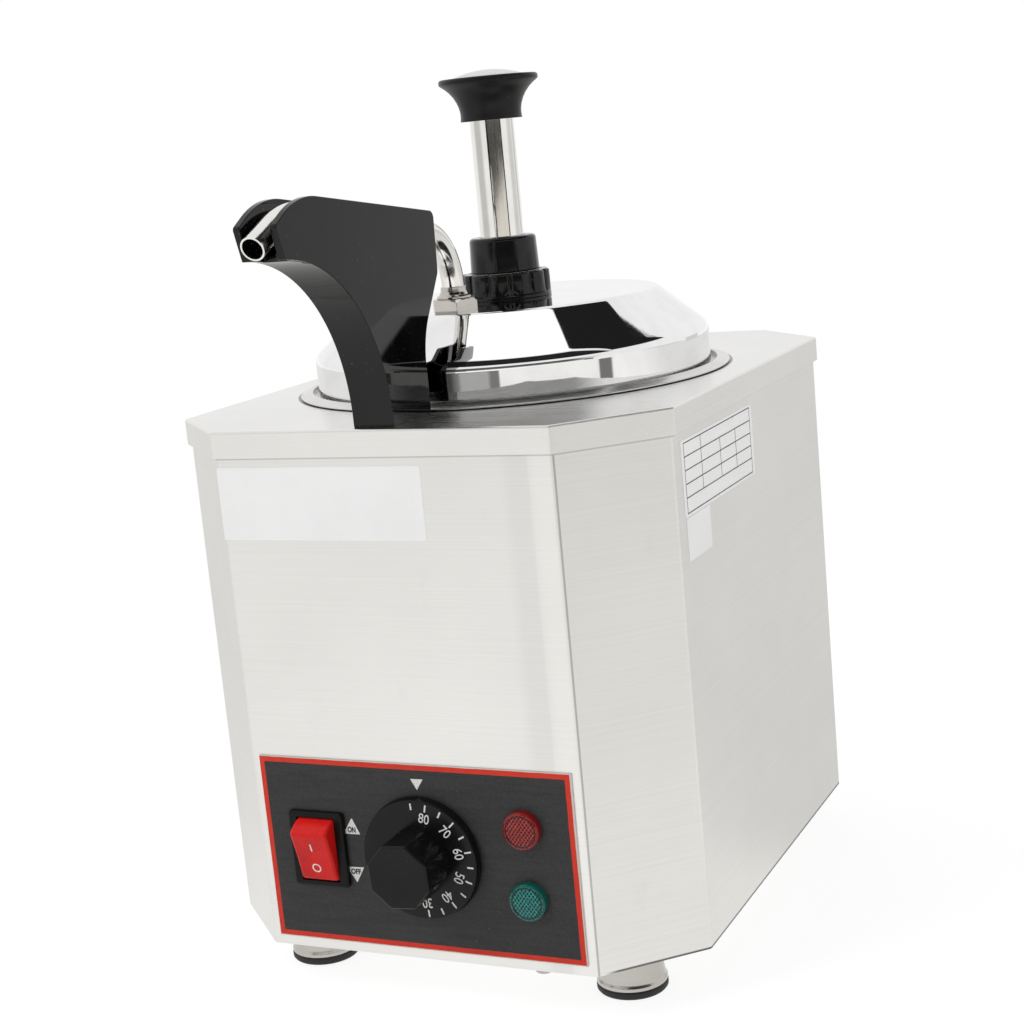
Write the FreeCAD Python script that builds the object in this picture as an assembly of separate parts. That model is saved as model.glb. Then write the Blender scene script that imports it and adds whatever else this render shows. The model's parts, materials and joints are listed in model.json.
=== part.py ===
import FreeCAD, Part
import math
import os

from FreeCAD import Vector

# A countertop topping warmer: a steel housing with a water tank, a lift-out pot and a lid with a hand pump.
# Sizes in millimetres. X points right, Y to the back and Z up. The floor is z = 0 and the front face looks
# to -Y. The housing's middle is x = y = 0.

# Housing
body_width = 205.0
body_depth = 250.0
body_height = 207.0
floor_gap = 19.5
sheet = 1.0
bend_radius = 2.2
bottom_flange = 11.0
top_flange = 5.0
overrun = 5.0
slip = 0.1
running = 0.06

# Deck cover
deck_overhang = 1.6
deck_skirt = 10.2
deck_edge_radius = 0.9

# Base pan and its screws
pan_sheet = 1.2
pan_inset = 2.5
vent_length = 26.0
vent_width = 4.0
vent_pitch = 11.0
vent_rows = 2
vent_count = 6
vent_row_gap = 46.0
base_screw_x = 45.0
base_screw_radius = 1.8
base_screw_length = 9.0
screw_head_radius = 3.5
screw_head_height = 1.8

# Feet
foot_inset_x = 34.1
foot_setback = 2.0
foot_radius = 13.9
foot_top_radius = 12.4
foot_wall = 1.0
pad_lip = 3.2
pad_plug_height = 5.0
pad_recess_radius = 7.0
pad_recess_depth = 1.2
foot_screw_radius = 2.4
foot_head_radius = 4.6
foot_head_height = 3.0
foot_screw_length = 9.5
foot_nut_flats = 8.0
foot_nut_height = 4.0

# Water tank and heater
tank_room = 9.5
front_room = 38.0
tank_flange = 5.0
tank_floor_rise = 73.5
tank_corner = 7.0
heater_margin = 25.0
heater_thickness = 8.0
heater_stud_radius = 4.0
heater_stud_length = 20.0
clamp_margin = 10.0
clamp_width = 22.0
clamp_thickness = 3.0
heater_nut_flats = 13.0
heater_nut_height = 5.0
heater_pin_radius = 2.5
heater_pin_length = 12.0
heater_pin_spacing = 26.0
heater_pin_y = 34.0
heater_bush_radius = 5.0
heater_bush_length = 5.0

# Control panel, with its row of controls
panel_width = 132.5
panel_height = 75.0
panel_margin = 3.25
panel_thickness = 0.6
panel_rise = 4.0
control_rise = 42.3
switch_x = -43.1
dial_x = 2.3
lamp_x = 45.0
lamp_spacing = 28.0

# Rocker switch
bezel_width = 24.2
bezel_height = 30.6
bezel_thickness = 2.0
bezel_corner = 1.6
switch_width = 21.6
switch_height = 27.6
switch_depth = 22.0
rocker_width = 16.3
rocker_radius = 12.7
rocker_edge = 6.8
rocker_valley = 6.4
rocker_back = 6.0
rocker_tilt = 16.0
rocker_side_gap = 0.2
rocker_end_gap = 0.3
pocket_depth = 9.5
pivot_radius = 1.5
pivot_length = 1.2
blade_width = 6.3
blade_thickness = 0.8
blade_length = 8.0
blade_spacing = 14.0

# Thermostat and its dial
dial_radius = 24.3
dial_face_radius = 23.6
dial_gap = 1.0
dial_thickness = 3.6
dial_shell = 1.6
dial_hub_radius = 8.0
grip_flats = 25.1
grip_height = 17.8
grip_turn = 4.0
shaft_radius = 3.0
shaft_flat_share = 0.75
shaft_in_knob = 13.0
shaft_in_body = 15.0
stat_width = 40.0
stat_height = 38.0
stat_depth = 30.0
stat_screw_spacing = 28.0
stat_screw_radius = 1.7
stat_screw_length = 10.0
stat_head_radius = 3.3
stat_head_height = 1.4
bulb_radius = 3.0
bulb_length = 56.0
bulb_gap = 12.0
capillary_radius = 0.9
capillary_bend = 7.0
clip_width = 12.0
clip_thickness = 0.8
clip_foot = 7.0

# Pilot lamps
lens_radius = 7.35
lens_height = 3.4
lens_wall = 1.2
lens_edge_radius = 1.0
lamp_body_radius = 5.8
lamp_body_length = 22.0
lamp_nut_radius = 8.6
lamp_nut_height = 3.0
lamp_blade_width = 2.8
lamp_blade_length = 7.0
lamp_blade_spacing = 5.0

# Cable gland, terminal block and earth stud
gland_inset = 14.5
gland_rise = 30.0
gland_flats = 19.0
gland_flange_height = 6.0
gland_thread_radius = 7.6
gland_thread_length = 11.0
gland_dome_radius = 8.2
gland_dome_height = 9.0
gland_bore_radius = 4.0
gland_nut_flats = 20.0
gland_nut_height = 4.5
wiring_inset = 63.0
block_spacing = 35.0
block_length = 45.0
block_width = 22.0
block_height = 16.0
block_step = 6.0
pole_count = 3
pole_bore_radius = 2.4
pole_screw_radius = 2.2
pole_screw_height = 1.4
earth_inset = 22.5
earth_radius = 2.4
earth_length = 16.0
earth_nut_flats = 8.0
earth_nut_height = 4.0
earth_washer_radius = 5.5
earth_washer_height = 1.0

# Inner pot
water_gap = 7.0
pot_wall = 1.0
water_depth = 11.1
pot_corner = 9.0
rim_overlap = 3.0
rim_lip = 0.9
rim_rise = 2.4
ring_gap = 1.3
seat_depth = 0.8

# Lid
lid_gap = 2.4
lid_sheet = 1.0
lid_height = 34.2
lid_wall_height = 17.0
lid_slope_width = 19.8
lid_shoulder_radius = 6.0
lid_edge_radius = 3.5

# Pump on the lid
spout_x = -1.5
rod_radius = 9.1
rod_wall = 1.0
bore_radius = 11.0
cylinder_radius = 13.0
neck_radius = 14.0
collar_radius = 18.0
collar_height = 3.0
gasket_height = 1.0
nut_radius = 18.4
nut_height = 10.7
nut_flutes = 12
flute_radius = 1.5
flute_depth = 0.55
nut_foot_height = 1.6
cap_radius = 14.3
cap_top_radius = 13.8
cap_height = 14.6
cap_edge_radius = 1.6
cap_roof = 4.5
cap_gap = 0.2
neck_top_wall = 1.3

# Plunger
rod_exposed = 47.4
stroke = 44.0
spring_length = 72.0
piston_height = 10.0
piston_boss_height = 6.0
seal_height = 2.8
seal_depth = 1.7
spring_wire = 0.75
spring_turns = 12
knob_neck_radius = 12.6
knob_rim_radius = 20.4
knob_height = 17.4
knob_neck_height = 4.2
knob_rim_height = 2.9
knob_flare_shares = (0.42, 0.62)
knob_socket = 12.0
knob_cap_radius = 15.0
knob_cap_rise = 2.8
knob_cap_depth = 2.0

# Pump valves
intake_gap = 2.9
valve_height = 17.0
valve_radius = 16.0
valve_socket = 4.5
chamber_radius = 9.0
intake_radius = 4.2
intake_length = 6.0
intake_ball_radius = 5.5
seat_height = 4.0
arm_width = 15.0
arm_height = 15.0
riser_boss_radius = 8.5
riser_boss_height = 27.0
discharge_seat_radius = 2.6
discharge_seat_rise = 12.0
discharge_chamber_radius = 5.2
discharge_chamber_height = 12.0
discharge_ball_radius = 4.1
passage_radius = 2.5
passage_rise = 7.6
ball_seat_gap = 0.05

# Discharge tube
tube_radius = 4.5
tube_wall = 0.8
tube_place_share = 0.7456
tube_rise = 8.7
tube_bend_radius = 24.6
tube_bend_angle = 81.5
tube_nose_radius = 40.0
tube_nose_angle = 24.0
tube_nose_length = 13.4
tube_overhang = 65.0
hex_flats = 17.0
hex_height = 5.0
locknut_height = 5.0
ferrule_radius = 7.0
ferrule_height = 4.6

# Spout guard
guard_width = 16.8
guard_wall = 2.6
guard_web = 2.2
guard_floor = 5.0
guard_gap = 9.6
guard_tip_overhang = 62.8
guard_heel_lean = 8.1
guard_heel_height = 51.2
guard_knee_height = 27.8
guard_back_height = 74.2
guard_front_height = 87.35
guard_crown_overhang = 46.4
guard_nose_height = 78.1
guard_throat_radius = 65.0
guard_setback = 2.8
guard_throat_rise = 1.7
guard_lower_overhang = 59.1
guard_knee_radius = 30.0
guard_heel_radius = 4.0
guard_corner_radius = 3.0
guard_crown_radius = 36.0
guard_crown_reach_share = 0.8
guard_nose_radius = 1.5
guard_notch_gap = 0.7
guard_notch_depth = 9.0
guard_screw_pitch = 12.0
guard_screw_radius = 1.9
guard_screw_grip = 4.0

# Levels and places that follow from the sizes above
shell_bottom = floor_gap
deck_top = shell_bottom + body_height
deck_under = deck_top - sheet
front_y = -body_depth / 2
panel_y = front_y - panel_thickness
inner_front_y = front_y + sheet
back_y = body_depth / 2
pan_top = shell_bottom
pan_under = shell_bottom - pan_sheet
body_chamfer = (body_width - panel_width) / 2 - panel_margin
foot_x = body_width / 2 - foot_inset_x
foot_y = body_depth / 2 - body_chamfer - foot_setback
control_z = shell_bottom + control_rise
panel_bottom = shell_bottom + panel_rise
side_limit = body_width / 2 - sheet - tank_room - tank_flange
front_limit = body_depth / 2 - front_room
tank_radius = min(side_limit, front_limit)
deck_hole_radius = tank_radius
tank_floor_z = shell_bottom + tank_floor_rise
tank_under = tank_floor_z - sheet
heater_radius = tank_radius - heater_margin
clamp_length = 2 * (heater_radius - clamp_margin)
bulb_y = -heater_radius - bulb_gap
heater_under = tank_under - heater_thickness
clamp_under = heater_under - clamp_thickness
gland_x = body_chamfer + gland_inset - body_width / 2
earth_x = earth_inset - body_width / 2
earth_y = body_depth / 2 - wiring_inset
block_x = earth_x + block_spacing
block_y = earth_y
seat_z = deck_top - seat_depth
pot_bottom = tank_floor_z + water_depth
pot_radius = tank_radius - water_gap
rim_radius = tank_radius + rim_overlap
ring_radius = tank_radius - ring_gap - pot_wall
lid_radius = ring_radius - lid_gap
lid_top_radius = lid_radius - lid_slope_width
lid_top = seat_z + lid_height
lid_under = lid_top - lid_sheet
gasket_under = lid_under - gasket_height
valve_bottom_z = pot_bottom + intake_gap
cylinder_bottom_z = valve_bottom_z + valve_height
piston_z = cylinder_bottom_z + spring_length
tube_y = -lid_top_radius * tube_place_share
nut_top = lid_top + nut_height
cap_bottom = nut_top
cap_top = cap_bottom + cap_height
cap_inside = cap_top - cap_roof
knob_bottom = cap_top + rod_exposed
knob_top = knob_bottom + knob_height
rod_top = knob_bottom + knob_socket
rod_bottom = piston_z + piston_height
spring_bottom = cylinder_bottom_z
guard_bottom = deck_top
guard_back_y = -lid_radius - guard_gap
guard_heel_y = guard_heel_lean - lid_radius
guard_tip_y = front_y - guard_tip_overhang
guard_crown_y = front_y - guard_crown_overhang
guard_lower_y = front_y - guard_lower_overhang
guard_throat_y = front_y + guard_setback - guard_throat_radius


def block(x0, x1, y0, y1, z0, z1):
    """A box between two corners."""
    return Part.makeBox(x1 - x0, y1 - y0, z1 - z0, Vector(x0, y0, z0))


def post(radius, z0, z1, x=0.0, y=0.0):
    """An upright cylinder."""
    return Part.makeCylinder(radius, z1 - z0, Vector(x, y, z0))


def pipe(outer, inner, z0, z1, x=0.0, y=0.0):
    """An upright tube."""
    return post(outer, z0, z1, x, y).cut(post(inner, z0 - overrun, z1 + overrun, x, y))


def fused(shapes):
    """One solid from pieces that meet."""
    whole = shapes[0]
    for other in shapes[1:]:
        whole = whole.fuse(other)
    return whole.removeSplitter()


def without(shape, cutters):
    """A shape less each cutter."""
    for cutter in cutters:
        shape = shape.cut(cutter)
    return shape


def corner_points(before, corner, after, radius):
    """The start, middle and end of the arc that rounds a corner of an outline."""
    back = (before - corner).normalize()
    ahead = (after - corner).normalize()
    half = back.getAngle(ahead) / 2
    reach = radius / math.tan(half)
    middle_way = (back + ahead).normalize()
    centre = corner + middle_way * (radius / math.sin(half))
    return corner + back * reach, centre - middle_way * radius, corner + ahead * reach


def outline(points):
    """A closed wire through (u, v, corner radius) points, in the XZ plane."""
    places = [Vector(u, 0, v) for u, v, _ in points]
    count = len(points)
    starts = []
    ends = []
    arcs = []
    for i in range(count):
        radius = points[i][2]
        if radius > 0:
            start, middle, end = corner_points(places[i - 1], places[i], places[(i + 1) % count], radius)
            arcs.append(Part.Arc(start, middle, end).toShape())
        else:
            start = places[i]
            end = places[i]
            arcs.append(None)
        starts.append(start)
        ends.append(end)
    edges = []
    for i in range(count):
        if arcs[i]:
            edges.append(arcs[i])
        after = (i + 1) % count
        if ends[i].distanceToPoint(starts[after]) > 1e-7:
            edges.append(Part.LineSegment(ends[i], starts[after]).toShape())
    return Part.Wire(edges)


def turned(points, x=0.0, y=0.0):
    """A solid of revolution about an upright axis, from (radius, z, corner radius) points."""
    solid = Part.Face(outline(points)).revolve(Vector(0, 0, 0), Vector(0, 0, 1), 360)
    solid.translate(Vector(x, y, 0))
    return solid


def slab_across(points, x0, x1):
    """A solid that runs across in X, from (y, z, corner radius) points."""
    face = Part.Face(outline(points))
    face.rotate(Vector(0, 0, 0), Vector(0, 0, 1), 90)
    face.translate(Vector(x0, 0, 0))
    return face.extrude(Vector(x1 - x0, 0, 0))


def many_sided(sides, flats, z0, z1, x=0.0, y=0.0, turn=0.0):
    """An upright prism with so many sides, its size given across the flats."""
    radius = flats / 2 / math.cos(math.pi / sides)
    corners = []
    for i in range(sides + 1):
        angle = math.radians(turn) + 2 * math.pi * (i + 0.5) / sides
        corners.append(Vector(x + radius * math.cos(angle), y + radius * math.sin(angle), z0))
    return Part.Face(Part.makePolygon(corners)).extrude(Vector(0, 0, z1 - z0))


def hexagon(flats, z0, z1, x=0.0, y=0.0):
    """An upright hexagonal prism, flat side to the front."""
    return many_sided(6, flats, z0, z1, x, y, 90.0)


def to_front(shape, x, y, z):
    """Lays a shape built upwards onto a plane that looks to the front."""
    shape.rotate(Vector(0, 0, 0), Vector(1, 0, 0), 90)
    shape.translate(Vector(x, y, z))
    return shape


def to_back(shape, x, y, z):
    """Lays a shape built upwards onto a plane that looks to the back."""
    shape.rotate(Vector(0, 0, 0), Vector(1, 0, 0), -90)
    shape.translate(Vector(x, y, z))
    return shape


def housing_prism(inset, z0, z1, bend=0.0):
    """The housing's plan, moved in by an inset, as an upright prism with bent corners."""
    half_x = body_width / 2 - inset
    half_y = body_depth / 2 - inset
    cut = body_chamfer - inset * (2 - math.sqrt(2))
    plan = [
        (half_x - cut, -half_y),
        (half_x, -half_y + cut),
        (half_x, half_y - cut),
        (half_x - cut, half_y),
        (-half_x + cut, half_y),
        (-half_x, half_y - cut),
        (-half_x, -half_y + cut),
        (-half_x + cut, -half_y),
    ]
    wire = outline([(x, y, bend) for x, y in plan])
    wire.rotate(Vector(0, 0, 0), Vector(1, 0, 0), -90)
    wire.scale(1.0)
    wire.mirror(Vector(0, 0, 0), Vector(0, 1, 0))
    face = Part.Face(wire)
    face.translate(Vector(0, 0, z0))
    return face.extrude(Vector(0, 0, z1 - z0))


def route(points, radius):
    """Straight runs through points, joined by tangent arcs of one radius."""
    edges = []
    at = points[0]
    for i in range(1, len(points) - 1):
        start, middle, end = corner_points(points[i - 1], points[i], points[i + 1], radius)
        edges.append(Part.LineSegment(at, start).toShape())
        edges.append(Part.Arc(start, middle, end).toShape())
        at = end
    edges.append(Part.LineSegment(at, points[-1]).toShape())
    return Part.Wire(edges)


def rod_along(wire, radius):
    """A round rod along a wire."""
    first = wire.Edges[0]
    way = first.tangentAt(first.FirstParameter)
    ring = Part.Wire(Part.makeCircle(radius, first.valueAt(first.FirstParameter), way))
    return wire.makePipeShell([ring], True, False)


def save(name, shape):
    """Writes one piece, or a group of like pieces, under its name."""
    shape.exportStep("parts/" + name + ".step")


def front_holes():
    """The holes through the front wall, as cutters, for the controls."""
    deep = sheet + 2 * overrun
    cutters = []
    switch = block(-switch_width / 2 - slip, switch_width / 2 + slip,
                   -switch_height / 2 - slip, switch_height / 2 + slip, -deep, overrun)
    cutters.append(to_front(switch, switch_x, front_y, control_z))
    shaft = post(shaft_radius + sheet, -deep, overrun)
    cutters.append(to_front(shaft, dial_x, front_y, control_z))
    for side in (-1, 1):
        screw = post(stat_screw_radius + slip, -deep, overrun)
        cutters.append(to_front(screw, dial_x + side * stat_screw_spacing / 2, front_y, control_z))
        lamp = post(lamp_body_radius + slip, -deep, overrun)
        cutters.append(to_front(lamp, lamp_x, front_y, control_z + side * lamp_spacing / 2))
    return cutters


def outer_shell():
    """The wrapped side wall with its folded flanges."""
    wall = housing_prism(0, shell_bottom, deck_under, bend_radius)
    inside = housing_prism(sheet, shell_bottom + sheet, deck_under - sheet, bend_radius - sheet)
    lower = housing_prism(sheet + bottom_flange, shell_bottom - overrun, shell_bottom + 2 * sheet)
    upper = housing_prism(sheet + top_flange, deck_under - 2 * sheet, deck_under + overrun)
    gland = to_back(post(gland_thread_radius + slip, -overrun, overrun), gland_x, back_y, gland_z())
    shell = without(wall, [inside, lower, upper, gland] + front_holes())
    for x, y in base_screw_places():
        hole = post(base_screw_radius + slip, shell_bottom - overrun, shell_bottom + overrun, x, y)
        shell = shell.cut(hole)
    return shell


def gland_z():
    """The height of the cable gland's axis."""
    return shell_bottom + gland_rise


def deck_cover():
    """The top pan with its folded skirt and the hole for the pot."""
    pan = housing_prism(-deck_overhang, deck_top - deck_skirt, deck_top, deck_edge_radius)
    rim = [edge for edge in pan.Edges if edge.BoundBox.ZMin > deck_top - slip]
    pan = pan.makeFillet(deck_edge_radius, rim)
    inside = housing_prism(sheet - deck_overhang, deck_top - deck_skirt - overrun, deck_under)
    hole = post(deck_hole_radius, deck_under - overrun, deck_top + overrun)
    screws = [post(guard_screw_radius + slip, deck_under - overrun, deck_top + overrun, x, y)
              for x, y in guard_screw_places()]
    return without(pan, [inside, hole] + screws)


def base_screw_places():
    """The six screws that hold the base pan to the shell's lower flange."""
    from_edge = sheet + bottom_flange / 2
    places = []
    for side in (-1, 1):
        for end in (-1, 1):
            places.append((side * base_screw_x, end * (body_depth / 2 - from_edge)))
        places.append((side * (body_width / 2 - from_edge), 0.0))
    return places


def foot_places():
    """The four feet, with the words that name each."""
    return [("front_left", -foot_x, -foot_y), ("front_right", foot_x, -foot_y),
            ("back_left", -foot_x, foot_y), ("back_right", foot_x, foot_y)]


def base_pan():
    """The flat bottom plate with its air slots."""
    plate = housing_prism(pan_inset, pan_under, pan_top)
    low = pan_under - overrun
    high = pan_top + overrun
    cutters = [post(base_screw_radius + slip, low, high, x, y) for x, y in base_screw_places()]
    cutters += [post(foot_screw_radius + slip, low, high, x, y) for _, x, y in foot_places()]
    for row in range(vent_rows):
        middle = (row - (vent_rows - 1) / 2) * vent_row_gap
        for i in range(vent_count):
            y = (i - (vent_count - 1) / 2) * vent_pitch
            cutters.append(block(middle - vent_length / 2, middle + vent_length / 2,
                                 y - vent_width / 2, y + vent_width / 2, low, high))
    return without(plate, cutters)


def base_screws():
    """Pan-head screws from below."""
    screws = []
    for x, y in base_screw_places():
        head = turned([(0, pan_under - screw_head_height, 0),
                       (screw_head_radius, pan_under - screw_head_height, screw_head_height / 2),
                       (screw_head_radius, pan_under, 0), (0, pan_under, 0)], x, y)
        shank = post(base_screw_radius, pan_under - screw_head_height / 2, pan_under + base_screw_length,
                     x, y)
        screws.append(fused([head, shank]))
    return Part.makeCompound(screws)


def foot_cup(x, y):
    """A spun steel cup, its open side down."""
    cup = turned([(0, pan_under, 0), (foot_top_radius, pan_under, foot_wall),
                  (foot_radius - slip, pad_lip, 0), (foot_radius - slip - foot_wall, pad_lip, 0),
                  (foot_top_radius - foot_wall, pan_under - foot_wall, 0),
                  (0, pan_under - foot_wall, 0)], x, y)
    return cup.cut(post(foot_screw_radius + slip, pad_lip, pan_under + overrun, x, y))


def foot_pad(x, y):
    """A rubber pad with a plug that goes up into the cup."""
    plug = foot_top_radius - foot_wall - slip
    pad = turned([(0, 0, 0), (foot_radius, 0, pad_lip / 4), (foot_radius, pad_lip, 0), (plug, pad_lip, 0),
                  (plug, pad_lip + pad_plug_height, pad_lip / 4), (0, pad_lip + pad_plug_height, 0)], x, y)
    return pad.cut(post(pad_recess_radius, -overrun, pad_recess_depth, x, y))


def foot_screws():
    """The screws that hold the cups."""
    seat = pan_under - foot_wall
    screws = []
    for _, x, y in foot_places():
        head = post(foot_head_radius, seat - foot_head_height, seat, x, y)
        shank = post(foot_screw_radius, seat - foot_head_height / 2, seat + foot_screw_length, x, y)
        screws.append(fused([head, shank]))
    return Part.makeCompound(screws)


def foot_nuts():
    """The nuts on the foot screws, inside the housing."""
    high = pan_top + foot_nut_height
    nuts = []
    for _, x, y in foot_places():
        bore = post(foot_screw_radius + slip, pan_top - overrun, high + overrun, x, y)
        nuts.append(hexagon(foot_nut_flats, pan_top, high, x, y).cut(bore))
    return Part.makeCompound(nuts)


def water_tank():
    """The round tank that hangs under the deck, with the stud welded to its floor."""
    outer = tank_radius + sheet
    tank = turned([(0, tank_under, 0), (outer, tank_under, tank_corner + sheet),
                   (outer, deck_under - sheet, 0), (outer + tank_flange, deck_under - sheet, 0),
                   (outer + tank_flange, deck_under, 0), (tank_radius, deck_under, 0),
                   (tank_radius, tank_floor_z, tank_corner), (0, tank_floor_z, 0)])
    stud = post(heater_stud_radius, tank_under - heater_stud_length, tank_floor_z)
    return fused([tank, stud])


def heating_plate():
    """The cast heating plate under the tank, with its two contact pins in their bushes."""
    pieces = [turned([(heater_stud_radius + slip, heater_under, 0), (heater_radius, heater_under, sheet),
                      (heater_radius, tank_under, 0), (heater_stud_radius + slip, tank_under, 0)])]
    for side in (-1, 1):
        x = side * heater_pin_spacing / 2
        pieces.append(post(heater_bush_radius, heater_under - heater_bush_length, heater_under + sheet, x,
                           heater_pin_y))
        pieces.append(post(heater_pin_radius, heater_under - heater_pin_length, heater_under + sheet, x,
                           heater_pin_y))
    return fused(pieces)


def heater_clamp():
    """The bar that presses the plate to the tank."""
    bar = block(-clamp_length / 2, clamp_length / 2, -clamp_width / 2, clamp_width / 2,
                clamp_under, heater_under)
    return bar.cut(post(heater_stud_radius + slip, clamp_under - overrun, heater_under + overrun))


def heater_nut():
    """The nut that draws the clamp up."""
    low = clamp_under - heater_nut_height
    nut = hexagon(heater_nut_flats, low, clamp_under)
    return nut.cut(post(heater_stud_radius + slip, low - overrun, clamp_under + overrun))


def control_panel():
    """The printed panel plate on the front."""
    plate = block(-panel_width / 2, panel_width / 2, panel_y, front_y,
                  panel_bottom, panel_bottom + panel_height)
    cutters = front_holes()
    for side in (-1, 1):
        head = post(stat_head_radius + slip, -overrun, overrun)
        cutters.append(to_front(head, dial_x + side * stat_screw_spacing / 2, front_y, control_z))
    return without(plate, cutters)


def switch_body():
    """The switch housing with its frame and the pocket for the rocker."""
    low = -switch_depth
    proud = panel_thickness + bezel_thickness
    frame = block(-bezel_width / 2, bezel_width / 2, -bezel_height / 2, bezel_height / 2,
                  panel_thickness, proud)
    corners = [edge for edge in frame.Edges if edge.BoundBox.ZLength > bezel_thickness / 2]
    frame = frame.makeFillet(bezel_corner, corners)
    edges = [edge for edge in frame.Edges if edge.BoundBox.ZMin > proud - slip]
    frame = frame.makeFillet(bezel_thickness / 2, edges)
    body = block(-switch_width / 2, switch_width / 2, -switch_height / 2, switch_height / 2,
                 low, panel_thickness)
    half_x = rocker_width / 2 + rocker_side_gap
    half_y = rocker_radius + rocker_end_gap
    pocket = block(-half_x, half_x, -half_y, half_y, -pocket_depth, proud + overrun)
    pivot = Part.makeCylinder(pivot_radius + running, 2 * (half_x + pivot_length),
                              Vector(-half_x - pivot_length, 0, 0), Vector(1, 0, 0))
    whole = without(fused([frame, body] + switch_blades()), [pocket, pivot])
    return to_front(whole, switch_x, front_y, control_z)


def switch_rocker():
    """The red rocker, at rest with its lower half pressed in."""
    half = rocker_width / 2
    disc = Part.makeCylinder(rocker_radius, rocker_width, Vector(-half, 0, 0), Vector(1, 0, 0))
    edge_y = math.sqrt(rocker_radius ** 2 - rocker_edge ** 2)
    tall = 2 * rocker_radius
    keep = slab_across([(-edge_y - tall, rocker_edge + tall * (rocker_edge - rocker_valley) / edge_y, 0),
                        (0, rocker_valley, 0),
                        (edge_y + tall, rocker_edge + tall * (rocker_edge - rocker_valley) / edge_y, 0),
                        (edge_y + tall, -rocker_back, 0), (-edge_y - tall, -rocker_back, 0)], -half, half)
    body = disc.common(keep)
    pin = Part.makeCylinder(pivot_radius, rocker_width + 2 * pivot_length,
                            Vector(-half - pivot_length, 0, 0), Vector(1, 0, 0))
    whole = fused([body, pin])
    whole.rotate(Vector(0, 0, 0), Vector(1, 0, 0), rocker_tilt)
    return to_front(whole, switch_x, front_y, control_z)


def switch_blades():
    """The four tabs at the back of the switch, before it is laid to the front."""
    blades = []
    for side in (-1, 1):
        for end in (-1, 1):
            x = side * (switch_width / 2 - blade_width)
            y = end * blade_spacing / 2
            blades.append(block(x - blade_width / 2, x + blade_width / 2,
                                y - blade_thickness / 2, y + blade_thickness / 2,
                                -switch_depth - blade_length, sheet - switch_depth))
    return blades


def thermostat_body():
    """The thermostat's case behind the front wall."""
    case = block(-stat_width / 2, stat_width / 2, -stat_height / 2, stat_height / 2,
                 -sheet - stat_depth, -sheet)
    bore = post(shaft_radius + running, -sheet - shaft_in_body, overrun)
    cutters = [bore]
    for side in (-1, 1):
        cutters.append(post(stat_screw_radius + slip, -stat_screw_length - slip, overrun,
                            side * stat_screw_spacing / 2, 0))
    return to_front(without(case, cutters), dial_x, front_y, control_z)


def thermostat_screws():
    """The two screws that hold the thermostat, hidden by the dial."""
    screws = []
    for side in (-1, 1):
        x = side * stat_screw_spacing / 2
        head = post(stat_head_radius, 0, stat_head_height, x, 0)
        shank = post(stat_screw_radius, -stat_screw_length, stat_head_height / 2, x, 0)
        screws.append(to_front(fused([head, shank]), dial_x, front_y, control_z))
    return Part.makeCompound(screws)


def flatted_post(radius, z0, z1):
    """A round post with one flat side."""
    flat = block(radius * shaft_flat_share, radius + overrun, -radius - overrun, radius + overrun,
                 0, z1 + overrun)
    return post(radius, z0, z1).cut(flat)


def thermostat_shaft():
    """The thermostat's shaft, with the flat that drives the dial."""
    shaft = flatted_post(shaft_radius, slip - sheet - shaft_in_body, shaft_in_knob)
    return to_front(shaft, dial_x, front_y, control_z)


def dial_knob():
    """The dial: a thin disc with a tall eight-sided grip."""
    face = dial_gap + dial_thickness
    disc = turned([(0, dial_gap, 0), (dial_radius, dial_gap, 0), (dial_face_radius, face, sheet / 2),
                   (0, face, 0)])
    room = dial_radius - dial_shell
    hollow = turned([(dial_hub_radius, dial_gap - overrun, 0), (room, dial_gap - overrun, 0),
                     (room, face - dial_shell, 0), (dial_hub_radius, face - dial_shell, 0)])
    grip = many_sided(8, grip_flats, face - dial_shell, face + grip_height, turn=grip_turn)
    edges = [edge for edge in grip.Edges if edge.BoundBox.ZMin > face + grip_height - slip]
    grip = grip.makeFillet(sheet, edges)
    bore = flatted_post(shaft_radius + slip / 2, dial_gap - overrun, shaft_in_knob + slip)
    knob = fused([disc.cut(hollow), grip]).cut(bore)
    return to_front(knob, dial_x, front_y, control_z)


def bulb_z():
    """The height of the sensing bulb's axis, close under the tank."""
    return tank_under - bulb_radius - slip


def sensing_bulb():
    """The sensing bulb under the tank with its thin tube from the thermostat's case."""
    start = Vector(dial_x - bulb_length / 2, bulb_y, bulb_z())
    bulb = Part.makeCylinder(bulb_radius, bulb_length, start, Vector(1, 0, 0))
    end_x = dial_x + bulb_length / 2
    from_x = dial_x + stat_width / 4
    turn_x = end_x + 3 * capillary_bend
    points = [
        Vector(from_x, inner_front_y + stat_depth, control_z),
        Vector(from_x, bulb_y, control_z),
        Vector(turn_x, bulb_y, control_z),
        Vector(turn_x, bulb_y, bulb_z()),
        Vector(end_x - slip, bulb_y, bulb_z()),
    ]
    return fused([bulb, rod_along(route(points, capillary_bend), capillary_radius)])


def bulb_clip():
    """The strap that holds the bulb to the tank's floor."""
    x0 = dial_x - clip_width / 2
    x1 = dial_x + clip_width / 2
    reach = bulb_radius + slip
    outer = reach + clip_thickness
    under = bulb_z() - outer
    strap = block(x0, x1, bulb_y - outer, bulb_y + outer, under, tank_under)
    feet = block(x0, x1, bulb_y - outer - clip_foot, bulb_y + outer + clip_foot,
                 tank_under - clip_thickness, tank_under)
    room = block(x0 - overrun, x1 + overrun, bulb_y - reach, bulb_y + reach,
                 bulb_z() - reach, tank_under + overrun)
    return fused([strap, feet]).cut(room)


def lamp_places():
    """The two pilot lamps, with the words that name each."""
    return [("red", control_z + lamp_spacing / 2), ("green", control_z - lamp_spacing / 2)]


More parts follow.
